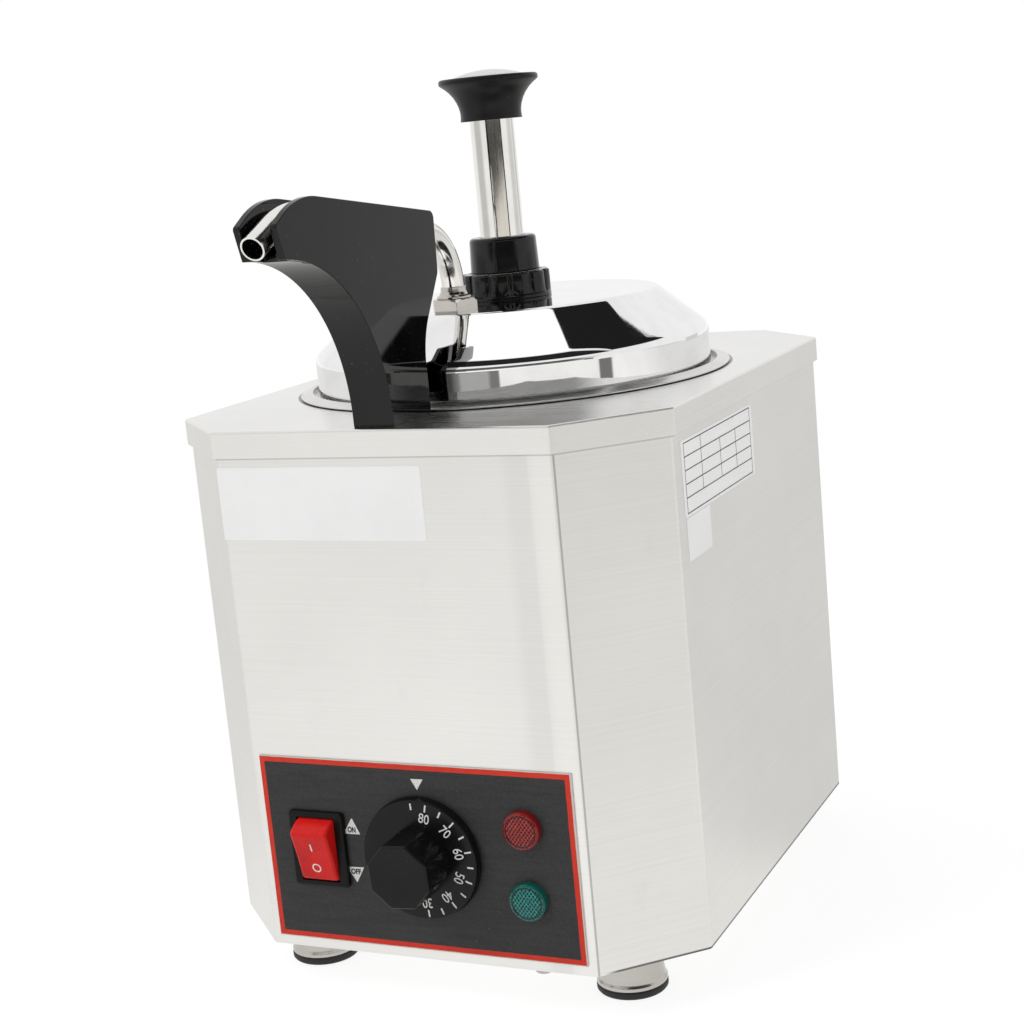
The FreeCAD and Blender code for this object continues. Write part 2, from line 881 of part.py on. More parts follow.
def lamp_lens(z):
    """A lens cap on the panel."""
    top = panel_thickness + lens_height
    cap = turned([(0, panel_thickness, 0), (lens_radius, panel_thickness, 0),
                  (lens_radius, top, lens_edge_radius), (0, top, 0)])
    room = post(lamp_body_radius + slip, 0, top - lens_wall)
    return to_front(cap.cut(room), lamp_x, front_y, z)


def lamp_body(z):
    """The lamp's barrel through the front wall, with its two contact tabs."""
    pieces = [post(lamp_body_radius, -lamp_body_length, panel_thickness + lens_height - lens_wall)]
    for side in (-1, 1):
        x = side * lamp_blade_spacing / 2
        pieces.append(block(x - blade_thickness / 2, x + blade_thickness / 2,
                            -lamp_blade_width / 2, lamp_blade_width / 2,
                            -lamp_body_length - lamp_blade_length, sheet - lamp_body_length))
    return to_front(fused(pieces), lamp_x, front_y, z)


def lamp_nuts():
    """The ring nuts behind the front wall."""
    nuts = [to_front(pipe(lamp_nut_radius, lamp_body_radius + slip, -sheet - lamp_nut_height, -sheet),
                     lamp_x, front_y, z) for _, z in lamp_places()]
    return Part.makeCompound(nuts)


def cable_gland():
    """The cable gland's body on the back wall."""
    flange = many_sided(6, gland_flats, 0, gland_flange_height)
    dome = turned([(0, gland_flange_height - sheet, 0), (gland_dome_radius, gland_flange_height - sheet, 0),
                   (gland_dome_radius, gland_flange_height + gland_dome_height, gland_dome_radius / 3),
                   (0, gland_flange_height + gland_dome_height, 0)])
    thread = post(gland_thread_radius, -gland_thread_length, sheet)
    bore = post(gland_bore_radius, -gland_thread_length - overrun,
                gland_flange_height + gland_dome_height + overrun)
    return to_back(fused([flange, dome, thread]).cut(bore), gland_x, back_y, gland_z())


def gland_nut():
    """The nut inside the back wall."""
    low = -sheet - gland_nut_height
    nut = many_sided(6, gland_nut_flats, low, -sheet)
    bore = post(gland_thread_radius + slip, low - overrun, overrun)
    return to_back(nut.cut(bore), gland_x, back_y, gland_z())


def pole_places():
    """The places of the terminal block's screws."""
    pitch = block_length / pole_count
    places = []
    for i in range(pole_count):
        for side in (-1, 1):
            places.append((block_x + (i - (pole_count - 1) / 2) * pitch, block_y + side * block_width / 4))
    return places


def terminal_block():
    """The ceramic terminal block on the base pan."""
    z0 = pan_top
    low = block(block_x - block_length / 2, block_x + block_length / 2, block_y - block_width / 2,
                block_y + block_width / 2, z0, z0 + block_height)
    cutters = []
    pitch = block_length / pole_count
    for i in range(pole_count):
        x = block_x + (i - (pole_count - 1) / 2) * pitch
        cutters.append(Part.makeCylinder(pole_bore_radius, block_width + 2 * overrun,
                                         Vector(x, block_y - block_width / 2 - overrun, z0 + block_step),
                                         Vector(0, 1, 0)))
    for x, y in pole_places():
        cutters.append(post(pole_screw_radius + slip, z0 + block_height - pole_screw_height,
                            z0 + block_height + overrun, x, y))
    return without(low, cutters)


def terminal_screws():
    """The block's clamping screws."""
    top = pan_top + block_height
    screws = [post(pole_screw_radius, top - pole_screw_height, top, x, y) for x, y in pole_places()]
    return Part.makeCompound(screws)


def earth_stud():
    """The earth stud on the base pan."""
    return post(earth_radius, pan_top, pan_top + earth_length, earth_x, earth_y)


def earth_nut():
    """The flanged nut on the earth stud."""
    seat = pan_top + earth_washer_height
    nut = hexagon(earth_nut_flats, seat, seat + earth_nut_height, earth_x, earth_y)
    washer = post(earth_washer_radius, pan_top, seat, earth_x, earth_y)
    bore = post(earth_radius + slip, pan_top - overrun, pan_top + earth_length, earth_x, earth_y)
    return fused([nut, washer]).cut(bore)


def inner_pot():
    """The lift-out pot: its raised rim lies on the deck and holds the lid on a step."""
    wall_in = pot_radius - pot_wall
    ring_out = ring_radius + pot_wall
    step_under = seat_z - pot_wall
    rim_top = deck_top + rim_rise
    return turned([(0, pot_bottom, 0), (pot_radius, pot_bottom, pot_corner), (pot_radius, step_under, 0),
                   (ring_out, step_under, 0), (ring_out, deck_top + rim_rise - pot_wall, 0),
                   (rim_radius - rim_lip, deck_top, 0), (rim_radius, deck_top, 0),
                   (rim_radius, deck_top + rim_lip, 0), (ring_out, rim_top, rim_lip / 2),
                   (ring_radius, rim_top - rim_lip / 2, 0), (ring_radius, seat_z, 0), (wall_in, seat_z, 0),
                   (wall_in, pot_bottom + pot_wall, pot_corner - pot_wall), (0, pot_bottom + pot_wall, 0)])


def lid_shell():
    """The polished lid with the holes for the pump and the tube."""
    wall_top = seat_z + lid_wall_height
    slope = math.atan2(lid_top - wall_top, lid_radius - lid_top_radius)
    back_off = lid_sheet * math.tan(slope / 2)
    side_off = lid_sheet * math.tan((math.pi / 2 - slope) / 2)
    inner = lid_radius - lid_sheet
    shell = turned([(lid_radius, seat_z, 0), (lid_radius, wall_top, lid_shoulder_radius),
                    (lid_top_radius, lid_top, lid_edge_radius), (0, lid_top, 0), (0, lid_under, 0),
                    (lid_top_radius - back_off, lid_under, lid_edge_radius - lid_sheet),
                    (inner, wall_top - side_off, lid_shoulder_radius - lid_sheet), (inner, seat_z, 0)])
    neck = post(neck_radius + slip, lid_under - overrun, lid_top + overrun)
    tube = post(tube_radius + slip, lid_under - overrun, lid_top + overrun, spout_x, tube_y)
    return without(shell, [neck, tube])


def pump_nut():
    """The fluted nut that clamps the pump to the lid."""
    nut = turned([(0, lid_top, 0), (nut_radius, lid_top, 0), (nut_radius, nut_top, sheet), (0, nut_top, 0)])
    cutters = [post(neck_radius + slip, lid_top - overrun, nut_top + overrun)]
    for i in range(nut_flutes):
        angle = 2 * math.pi * i / nut_flutes
        away = nut_radius + flute_radius - flute_depth
        cutters.append(post(flute_radius, lid_top + nut_foot_height, nut_top + overrun,
                            away * math.cos(angle), away * math.sin(angle)))
    return without(nut, cutters)


def gland_cap():
    """The glossy cap that guides the plunger."""
    cap = turned([(rod_radius + running, cap_bottom, 0), (cap_radius, cap_bottom, 0),
                  (cap_top_radius, cap_top, cap_edge_radius), (rod_radius + running, cap_top, 0)])
    room = post(bore_radius + neck_top_wall + slip, cap_bottom - overrun, cap_inside)
    return cap.cut(room)


def pump_gasket():
    """The seal under the lid."""
    return pipe(collar_radius, neck_radius + slip, gasket_under, lid_under)


def pump_cylinder():
    """The pump's cylinder: collar under the lid, threaded neck above it."""
    neck_top = cap_inside - cap_gap
    upper = bore_radius + neck_top_wall
    return turned([(bore_radius, cylinder_bottom_z, 0), (cylinder_radius, cylinder_bottom_z, 0),
                   (cylinder_radius, gasket_under - collar_height, 0),
                   (collar_radius, gasket_under - collar_height, 0), (collar_radius, gasket_under, 0),
                   (neck_radius, gasket_under, 0), (neck_radius, nut_top, 0), (upper, nut_top, 0),
                   (upper, neck_top, 0), (bore_radius, neck_top, 0)])


def valve_block():
    """The block under the cylinder: intake seat, cross passage and outlet seat."""
    z0 = valve_bottom_z
    top = cylinder_bottom_z + valve_socket
    body = post(valve_radius, z0, top)
    arm = block(spout_x - arm_width / 2, spout_x + arm_width / 2, tube_y, 0, z0, z0 + arm_height)
    boss = post(riser_boss_radius, z0, z0 + riser_boss_height, spout_x, tube_y)
    seat_low = z0 + intake_length
    seat_cone = Part.makeCone(intake_radius, chamber_radius, seat_height, Vector(0, 0, seat_low))
    outlet_low = z0 + discharge_seat_rise
    outlet_cone = Part.makeCone(discharge_seat_radius, discharge_chamber_radius, seat_height / 2,
                                Vector(spout_x, tube_y, outlet_low))
    passage = Part.makeCylinder(passage_radius, -tube_y, Vector(spout_x, tube_y, z0 + passage_rise),
                                Vector(0, 1, 0))
    cutters = [
        post(cylinder_radius + slip, cylinder_bottom_z, top + overrun),
        post(chamber_radius, seat_low + seat_height, cylinder_bottom_z + overrun),
        post(intake_radius, z0 - overrun, seat_low + slip),
        seat_cone,
        passage,
        post(discharge_seat_radius, z0 + passage_rise, outlet_low + slip, spout_x, tube_y),
        outlet_cone,
        post(discharge_chamber_radius, outlet_low + seat_height / 2, riser_bottom(), spout_x, tube_y),
        post(tube_radius + slip, riser_bottom(), z0 + riser_boss_height + overrun, spout_x, tube_y),
    ]
    return without(fused([body, arm, boss]), cutters)


def riser_bottom():
    """Where the discharge tube ends in the valve block."""
    return valve_bottom_z + discharge_seat_rise + discharge_chamber_height


def seated_ball(radius, low_radius, high_radius, height, z, x, y):
    """A ball that rests in a conical seat."""
    lean = math.atan2(high_radius - low_radius, height)
    centre = z + (radius - low_radius * math.cos(lean)) / math.sin(lean) + ball_seat_gap
    return Part.makeSphere(radius, Vector(x, y, centre))


def intake_ball():
    """The ball of the intake valve."""
    return seated_ball(intake_ball_radius, intake_radius, chamber_radius, seat_height,
                       valve_bottom_z + intake_length, 0, 0)


def discharge_ball():
    """The ball of the outlet valve."""
    return seated_ball(discharge_ball_radius, discharge_seat_radius, discharge_chamber_radius,
                       seat_height / 2, valve_bottom_z + discharge_seat_rise, spout_x, tube_y)


def tube_wire():
    """The discharge tube's path: up through the lid, forward under the guard's top and down at the nose."""
    lean = math.radians(tube_bend_angle)
    fall = math.radians(tube_nose_angle)
    rise = math.pi / 2 - lean
    up = Vector(0, 0, 1)
    along = Vector(0, -math.sin(lean), math.cos(lean))
    down = Vector(0, -math.cos(fall), -math.sin(fall))
    start = Vector(spout_x, tube_y, riser_bottom())
    bend_start = Vector(spout_x, tube_y, lid_top + tube_rise)
    corner = bend_start + up * (tube_bend_radius * math.tan(lean / 2))
    nose_cut = tube_nose_radius * math.tan((rise + fall) / 2)
    nose_y = front_y - tube_overhang + (nose_cut + tube_nose_length) * math.cos(fall)
    second = corner + along * ((corner.y - nose_y) / math.sin(lean))
    end = second + down * (nose_cut + tube_nose_length)
    first_arc = corner_points(start, corner, second, tube_bend_radius)
    second_arc = corner_points(corner, second, end, tube_nose_radius)
    return Part.Wire([
        Part.LineSegment(start, first_arc[0]).toShape(),
        Part.Arc(*first_arc).toShape(),
        Part.LineSegment(first_arc[2], second_arc[0]).toShape(),
        Part.Arc(*second_arc).toShape(),
        Part.LineSegment(second_arc[2], end).toShape(),
    ])


def discharge_tube():
    """The steel tube from the valve block to the spout."""
    wire = tube_wire()
    return rod_along(wire, tube_radius).cut(rod_along(wire, tube_radius - tube_wall))


def tube_nut():
    """The polished hexagon on the lid around the tube."""
    high = lid_top + hex_height
    wide = hex_flats / 2 + sheet
    nut = hexagon(hex_flats, lid_top, high, spout_x, tube_y)
    dome = turned([(0, lid_top, 0), (wide, lid_top, sheet), (wide, high, sheet), (0, high, 0)],
                  spout_x, tube_y)
    bore = post(tube_radius + slip, lid_top - overrun, high + overrun, spout_x, tube_y)
    return nut.common(dome).cut(bore)


def tube_ferrule():
    """The flared ring that seals the tube on the nut."""
    z0 = lid_top + hex_height
    z1 = z0 + ferrule_height
    thin = tube_radius + tube_wall
    return turned([(tube_radius + slip, z0, 0), (ferrule_radius, z0, sheet / 2),
                   (ferrule_radius, z0 + sheet, sheet / 4),
                   (thin, z0 + ferrule_height / 2, ferrule_height / 4), (thin - slip, z1, 0),
                   (tube_radius + slip, z1, 0)], spout_x, tube_y)


def tube_locknut():
    """The nut under the lid."""
    low = lid_under - locknut_height
    nut = hexagon(hex_flats, low, lid_under, spout_x, tube_y)
    return nut.cut(post(tube_radius + slip, low - overrun, lid_under + overrun, spout_x, tube_y))


def plunger_rod():
    """The polished hollow rod."""
    return pipe(rod_radius, rod_radius - rod_wall, rod_bottom, rod_top)


def piston():
    """The piston on the rod's end."""
    outer = bore_radius - slip
    groove = outer - seal_depth
    middle = piston_z + piston_height / 2
    boss = rod_radius - rod_wall - slip
    half = seal_height / 2 + slip
    return turned([(0, piston_z, 0), (outer, piston_z, sheet / 2), (outer, middle - half, 0),
                   (groove, middle - half, 0), (groove, middle + half, 0), (outer, middle + half, 0),
                   (outer, rod_bottom, 0),
                   (boss, rod_bottom, 0), (boss, rod_bottom + piston_boss_height, 0),
                   (0, rod_bottom + piston_boss_height, 0)])


def piston_seal():
    """The ring in the piston's groove."""
    middle = piston_z + piston_height / 2
    return pipe(bore_radius - running / 2, bore_radius - slip - seal_depth + slip / 2,
                middle - seal_height / 2, middle + seal_height / 2)


def return_spring():
    """The coil spring that lifts the piston."""
    mean = bore_radius - spring_wire - slip
    height = piston_z - spring_bottom - 2 * spring_wire
    helix = Part.makeHelix(height / spring_turns, height, mean)
    helix.translate(Vector(0, 0, spring_bottom + spring_wire))
    wire = Part.Wire(helix.Edges)
    start = wire.Edges[0]
    section = Part.Wire(Part.makeCircle(spring_wire, start.valueAt(start.FirstParameter),
                                        start.tangentAt(start.FirstParameter)))
    return wire.makePipeShell([section], True, True)


def push_knob():
    """The palm knob: a neck that flares out to a broad rim."""
    rim_low = knob_top - knob_rim_height
    flare_low = knob_bottom + knob_neck_height
    wide = knob_rim_radius - sheet
    flare = Part.Arc(
        Vector(knob_neck_radius, 0, flare_low),
        Vector(knob_neck_radius + (wide - knob_neck_radius) * knob_flare_shares[0], 0,
               flare_low + (rim_low - flare_low) * knob_flare_shares[1]),
        Vector(wide, 0, rim_low),
    ).toShape()
    corner = corner_points(Vector(knob_rim_radius, 0, rim_low + sheet),
                           Vector(knob_rim_radius, 0, knob_top), Vector(0, 0, knob_top), knob_rim_height / 2)
    places = [Vector(0, 0, knob_bottom), Vector(knob_neck_radius, 0, knob_bottom),
              Vector(knob_neck_radius, 0, flare_low)]
    edges = [
        Part.LineSegment(places[0], places[1]).toShape(),
        Part.LineSegment(places[1], places[2]).toShape(),
        flare,
        Part.LineSegment(Vector(wide, 0, rim_low), Vector(knob_rim_radius, 0, rim_low + sheet)).toShape(),
        Part.LineSegment(Vector(knob_rim_radius, 0, rim_low + sheet), corner[0]).toShape(),
        Part.Arc(*corner).toShape(),
        Part.LineSegment(corner[2], Vector(0, 0, knob_top)).toShape(),
        Part.LineSegment(Vector(0, 0, knob_top), places[0]).toShape(),
    ]
    knob = Part.Face(Part.Wire(edges)).revolve(Vector(0, 0, 0), Vector(0, 0, 1), 360)
    socket = post(rod_radius + slip, knob_bottom - overrun, rod_top)
    recess = post(knob_cap_radius + slip, knob_top - knob_cap_depth, knob_top + overrun)
    return without(knob, [socket, recess])


def knob_cap():
    """The domed disc in the knob's top."""
    low = knob_top - knob_cap_depth
    peak = Vector(0, 0, knob_top + knob_cap_rise)
    side = Vector(knob_cap_radius, 0, knob_top)
    dome = (knob_cap_radius ** 2 + knob_cap_rise ** 2) / (2 * knob_cap_rise)
    half = math.asin(knob_cap_radius / dome) / 2
    between = Vector(dome * math.sin(half), 0, peak.z - dome * (1 - math.cos(half)))
    edges = [
        Part.LineSegment(Vector(0, 0, low), Vector(knob_cap_radius, 0, low)).toShape(),
        Part.LineSegment(Vector(knob_cap_radius, 0, low), side).toShape(),
        Part.Arc(side, between, peak).toShape(),
        Part.LineSegment(peak, Vector(0, 0, low)).toShape(),
    ]
    return Part.Face(Part.Wire(edges)).revolve(Vector(0, 0, 0), Vector(0, 0, 1), 360)


def guard_screw_places():
    """The two screws that hold the spout guard to the deck."""
    front = front_y + guard_web + sheet
    middle = (front + guard_back_y) / 2 + sheet
    return [(spout_x, middle - guard_screw_pitch / 2), (spout_x, middle + guard_screw_pitch / 2)]


def crown_fillet(heel, crown, tip):
    """The radius of the crown's round, which ends before the nose."""
    half = (heel - crown).getAngle(tip - crown) / 2
    reach = guard_crown_reach_share * (tip - crown).Length
    return min(guard_crown_radius, reach * math.tan(half))


def guard_outline():
    """The guard's side, as a closed wire in the YZ plane."""
    z0 = guard_bottom
    throat = Vector(0, guard_throat_y, z0 + guard_throat_rise)
    foot = Vector(0, guard_throat_y + guard_throat_radius, throat.z)
    drop = math.sqrt(guard_throat_radius ** 2 - (guard_lower_y - throat.y) ** 2)
    lower = Vector(0, guard_lower_y, throat.z + drop)
    bisect = math.radians(45)
    arc_middle = throat + Vector(0, math.cos(bisect), math.sin(bisect)) * guard_throat_radius
    heel = Vector(0, guard_heel_y, z0 + guard_back_height)
    crown = Vector(0, guard_crown_y, z0 + guard_front_height)
    tip = Vector(0, guard_tip_y, z0 + guard_nose_height)
    points = [
        (Vector(0, guard_back_y, z0), 0),
        (Vector(0, guard_back_y, z0 + guard_knee_height), guard_knee_radius),
        (Vector(0, guard_heel_y - sheet, z0 + guard_heel_height), guard_heel_radius),
        (heel, guard_corner_radius),
        (crown, crown_fillet(heel, crown, tip)),
        (tip, guard_nose_radius),
    ]
    chain = [Vector(0, foot.y, z0)] + [place for place, _ in points] + [lower]
    edges = []
    at = chain[0]
    for i in range(1, len(chain) - 1):
        radius = points[i - 1][1]
        if radius > 0:
            start, middle, end = corner_points(chain[i - 1], chain[i], chain[i + 1], radius)
            edges.append(Part.LineSegment(at, start).toShape())
            edges.append(Part.Arc(start, middle, end).toShape())
            at = end
        else:
            edges.append(Part.LineSegment(at, chain[i]).toShape())
            at = chain[i]
    edges.append(Part.LineSegment(at, lower).toShape())
    edges.append(Part.Arc(lower, arc_middle, foot).toShape())
    edges.append(Part.LineSegment(foot, chain[0]).toShape())
    return Part.Wire(edges)


def spout_guard():
    """The black channel that carries and shields the discharge tube."""
    half = guard_width / 2
    face = Part.Face(guard_outline())
    face.translate(Vector(spout_x - half, 0, 0))
    whole = face.extrude(Vector(guard_width, 0, 0))
    z0 = guard_bottom
    centre_z = z0 + guard_throat_rise
    inner = guard_throat_radius + guard_web
    room_half = half - guard_wall
    room = block(spout_x - room_half, spout_x + room_half, guard_tip_y - overrun, guard_heel_y + overrun,
                 z0 + guard_floor, z0 + guard_front_height + overrun)
    web = Part.makeCylinder(inner, guard_width, Vector(spout_x - half, guard_throat_y, centre_z),
                            Vector(1, 0, 0))
    room = room.cut(web)
    nose_drop = tube_nose_end_z() - tube_radius / math.cos(math.radians(tube_nose_angle)) - guard_notch_gap
    slot_half = tube_radius + guard_notch_gap
    notch = block(spout_x - slot_half, spout_x + slot_half, guard_tip_y - overrun,
                  guard_lower_y + guard_notch_depth, nose_drop, z0 + guard_front_height)
    cutters = [room, notch]
    for x, y in guard_screw_places():
        cutters.append(post(guard_screw_radius + slip / 2, z0 - overrun, z0 + guard_screw_grip + slip,
                            x, y))
    return without(whole, cutters)


def tube_nose_end_z():
    """The height of the spout's mouth."""
    wire = tube_wire()
    return wire.Edges[-1].Vertexes[-1].Point.z


def guard_screws():
    """The guard's screws, up through the deck."""
    screws = []
    for x, y in guard_screw_places():
        head = post(screw_head_radius, deck_under - screw_head_height, deck_under, x, y)
        shank = post(guard_screw_radius, deck_under - screw_head_height / 2,
                     guard_bottom + guard_screw_grip, x, y)
        screws.append(fused([head, shank]))
    return Part.makeCompound(screws)


os.makedirs("parts", exist_ok=True)

save("outer_shell", outer_shell())
save("deck_cover", deck_cover())
save("base_pan", base_pan())
save("base_screws", base_screws())
for corner, foot_at_x, foot_at_y in foot_places():
    save("foot_cup_" + corner, foot_cup(foot_at_x, foot_at_y))
    save("foot_pad_" + corner, foot_pad(foot_at_x, foot_at_y))
save("foot_screws", foot_screws())
save("foot_nuts", foot_nuts())
save("water_tank", water_tank())
save("heating_plate", heating_plate())
save("heater_clamp", heater_clamp())
save("heater_nut", heater_nut())
save("control_panel", control_panel())
save("switch_body", switch_body())
save("switch_rocker", switch_rocker())
save("thermostat_body", thermostat_body())
save("thermostat_screws", thermostat_screws())
save("thermostat_shaft", thermostat_shaft())
save("dial_knob", dial_knob())
save("sensing_bulb", sensing_bulb())
save("bulb_clip", bulb_clip())
for colour, lamp_z in lamp_places():
    save(colour + "_lamp_lens", lamp_lens(lamp_z))
    save(colour + "_lamp_body", lamp_body(lamp_z))
save("lamp_nuts", lamp_nuts())
save("cable_gland", cable_gland())
save("gland_nut", gland_nut())
save("terminal_block", terminal_block())
save("terminal_screws", terminal_screws())
save("earth_stud", earth_stud())
save("earth_nut", earth_nut())
save("spout_guard", spout_guard())
save("guard_screws", guard_screws())
save("inner_pot", inner_pot())
save("lid", lid_shell())
save("pump_nut", pump_nut())
save("gland_cap", gland_cap())
save("pump_gasket", pump_gasket())
save("pump_cylinder", pump_cylinder())
save("valve_block", valve_block())
save("intake_ball", intake_ball())
save("discharge_ball", discharge_ball())
save("discharge_tube", discharge_tube())
save("tube_nut", tube_nut())
save("tube_ferrule", tube_ferrule())
save("tube_locknut", tube_locknut())
save("plunger_rod", plunger_rod())
save("piston", piston())
save("piston_seal", piston_seal())
save("return_spring", return_spring())
save("push_knob", push_knob())
save("knob_cap", knob_cap())
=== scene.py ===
import json
import math

import bmesh
import bpy
from mathutils import Matrix, Vector


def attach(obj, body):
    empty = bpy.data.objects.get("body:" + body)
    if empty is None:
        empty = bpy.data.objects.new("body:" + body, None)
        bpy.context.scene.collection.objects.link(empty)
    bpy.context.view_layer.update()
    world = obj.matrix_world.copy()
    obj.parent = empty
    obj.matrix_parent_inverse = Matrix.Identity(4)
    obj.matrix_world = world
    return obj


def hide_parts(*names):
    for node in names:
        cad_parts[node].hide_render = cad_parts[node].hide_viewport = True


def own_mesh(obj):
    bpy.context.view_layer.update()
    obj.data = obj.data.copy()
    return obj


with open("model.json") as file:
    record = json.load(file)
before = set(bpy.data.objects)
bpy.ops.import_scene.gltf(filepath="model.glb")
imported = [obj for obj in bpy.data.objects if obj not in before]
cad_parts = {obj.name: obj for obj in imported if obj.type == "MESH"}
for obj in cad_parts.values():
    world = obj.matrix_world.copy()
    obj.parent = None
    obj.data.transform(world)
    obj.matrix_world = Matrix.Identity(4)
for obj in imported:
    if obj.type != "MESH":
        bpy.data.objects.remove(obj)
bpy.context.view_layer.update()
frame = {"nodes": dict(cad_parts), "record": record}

MM = 0.001

# Places and sizes in millimetres
FRONT_Y = -125.0
SIDE_X = 102.5
LID_TOP, LID_EDGE = 259.9, 225.7
PUMP_HOLE = 14.1
TUBE_X, TUBE_Y = -1.5, -46.6
GUARD_CENTRE = (-187.2, 228.2)
GUARD_RADIUS, ROOM_RADIUS = 65.0, 67.2
SWITCH_X, DIAL_X, LENS_X = -43.1, 2.3, 45.0
PANEL_Z = 61.8
LENS_RED_Z, LENS_GREEN_Z = 75.8, 47.8
FOOT_X, FOOT_Y = 68.4, 90.0
ROCKER_REACH, ROCKER_TOP, ROCKER_DIP = 10.73, 6.8, 0.4

# The crossed lines on the lenses: their pitch, and how far they lean sideways for each step up
LENS_PITCH, LENS_LEAN = 1.5, 0.75

BODY_OF = {node: body for body, nodes in frame["record"]["behaviour"]["bodies"].items() for node in nodes}


# Node graphs

class Graph:
    """Adds nodes to a tree and links them."""

    def __init__(self, tree):
        self.tree = tree
        tree.nodes.clear()

    def add(self, kind, inputs=None, **settings):
        node = self.tree.nodes.new(kind)
        for key, value in settings.items():
            setattr(node, key, value)
        for key, value in (inputs or {}).items():
            socket = node.inputs[key]
            if isinstance(value, bpy.types.NodeSocket):
                self.tree.links.new(value, socket)
            else:
                socket.default_value = value
        return node

    def math(self, kind, a, b=0.0, c=0.0):
        return self.add("ShaderNodeMath", {0: a, 1: b, 2: c}, operation=kind).outputs[0]

    def times(self, first, *others):
        for value in others:
            first = self.math("MULTIPLY", first, value)
        return first

    def plus(self, a, b):
        return self.math("ADD", a, b)

    def minus(self, a, b):
        return self.math("SUBTRACT", a, b)

    def far(self, u, v):
        """The distance of (u, v) from zero."""
        return self.math("SQRT", self.plus(self.times(u, u), self.times(v, v)))

    def span(self, value, low, high, start=0.0, end=1.0, smooth=True):
        kind = "SMOOTHSTEP" if smooth else "LINEAR"
        return self.add("ShaderNodeMapRange", {"Value": value, "From Min": low, "From Max": high, "To Min": start,
                                               "To Max": end}, interpolation_type=kind).outputs["Result"]

    def between(self, value, low, high, soft):
        """1 from low to high, with soft edges outside them."""
        return self.times(self.span(value, low - soft, low), self.span(value, high + soft, high))

    def mix(self, share, a, b):
        return self.add("ShaderNodeMix", {"Factor": share, 6: a, 7: b}, data_type="RGBA").outputs[2]

    def place(self):
        return self.add("ShaderNodeTexCoord").outputs["Object"]

    def stretched(self, x, y, z, vector=None):
        vector = vector or self.place()
        return self.add("ShaderNodeMapping", {"Vector": vector, "Scale": (x, y, z)}).outputs["Vector"]

    def noise(self, vector, scale=1.0, detail=3.0, rough=0.55):
        return self.add("ShaderNodeTexNoise", {"Vector": vector, "Scale": scale, "Detail": detail,
                                               "Roughness": rough}).outputs["Fac"]

    def axes(self, vector):
        node = self.add("ShaderNodeSeparateXYZ", {"Vector": vector})
        return node.outputs["X"], node.outputs["Y"], node.outputs["Z"]


def rgb(r, g, b):
    """A linear colour from display values of 0 to 255."""
    out = []
    for v in (r, g, b):
        v = v / 255
        out.append(v / 12.92 if v <= 0.04045 else ((v + 0.055) / 1.055) ** 2.4)
    return out + [1.0]


def neutral(tone):
    return [tone, tone, tone, 1.0]


def scaled(colour, factor, lift=0.0):
    """A lighter or darker colour."""
    return [min(1.0, c * factor + lift) for c in colour[:3]] + [1.0]


def finish_surface(g, colour, rough, height, strength, distance, **fixed):
    """The shader with its bump and uniform values, and the output."""
    bump = g.add("ShaderNodeBump", {"Strength": strength, "Distance": distance, "Height": height})
    shader = g.add("ShaderNodeBsdfPrincipled", {"Base Color": colour, "Roughness": rough,
                                                "Normal": bump.outputs["Normal"]})
    for key, value in fixed.items():
        shader.inputs[key.replace("_", " ")].default_value = value
    g.add("ShaderNodeOutputMaterial", {"Surface": shader.outputs["BSDF"]})


def new_material(name):
    material = bpy.data.materials.new(name)
    material.use_nodes = True
    return material, Graph(material.node_tree)


def sheet_steel(name, colour, rough, top_rough=0.34, painted_shadows=None, painted_reflection=None):
    """Brushed sheet: fine lines run level on the walls and across the top. Painted shadows darken named places, and a
    painted reflection may shift the tone of others.
    """
    material, g = new_material(name)
    place = g.place()
    level = g.noise(g.stretched(7, 7, 1500, place), 1.0, 4.0, 0.6)
    across = g.noise(g.stretched(7, 1500, 7, place), 1.0, 4.0, 0.6)
    _, _, up = g.axes(g.add("ShaderNodeNewGeometry").outputs["Normal"])
    top = g.span(g.math("ABSOLUTE", up), 0.6, 0.8)
    lines = g.plus(g.times(level, g.minus(1.0, top)), g.times(across, top))
    cloud = g.noise(place, 14.0, 3.0)
    stain = g.span(g.noise(g.stretched(60, 60, 25, place), 1.0, 5.0, 0.7), 0.58, 0.8)
    tone = g.plus(g.span(lines, 0.2, 0.8, -0.035, 0.035, False), g.span(cloud, 0.3, 0.7, -0.02, 0.02, False))
    tone = g.minus(tone, g.times(stain, 0.03))
    # Painted reflection: a darker and a lighter tone added to the colour where the sheet bows.
    if painted_reflection:
        tone = g.plus(tone, painted_reflection(g, place))
    shade = g.mix(g.plus(0.62, g.times(tone, 4.0)), scaled(colour, 0.8), scaled(colour, 1.12))
    # Painted shadow: the named places are darkened nearly to black.
    if painted_shadows:
        shade = g.mix(painted_shadows(g, place), shade, [0.05, 0.048, 0.046, 1.0])
    roughness = g.plus(g.span(top, 0.0, 1.0, rough, top_rough), g.span(lines, 0.2, 0.8, -0.06, 0.06, False))
    finish_surface(g, shade, roughness, lines, 0.16, 0.00006, Metallic=1.0)
    return material


def rim_shadow(g, place):
    """Painted shadow: a dark ring on the deck just outside the pot's rim, where the gap under the rim is shaded."""
    x, y, z = g.axes(place)
    radius = g.far(x, y)
    return g.times(g.span(radius, 91.6 * MM, 90.7 * MM), g.span(radius, 88.6 * MM, 89.2 * MM),
                   g.span(z, 226.2 * MM, 226.3 * MM))


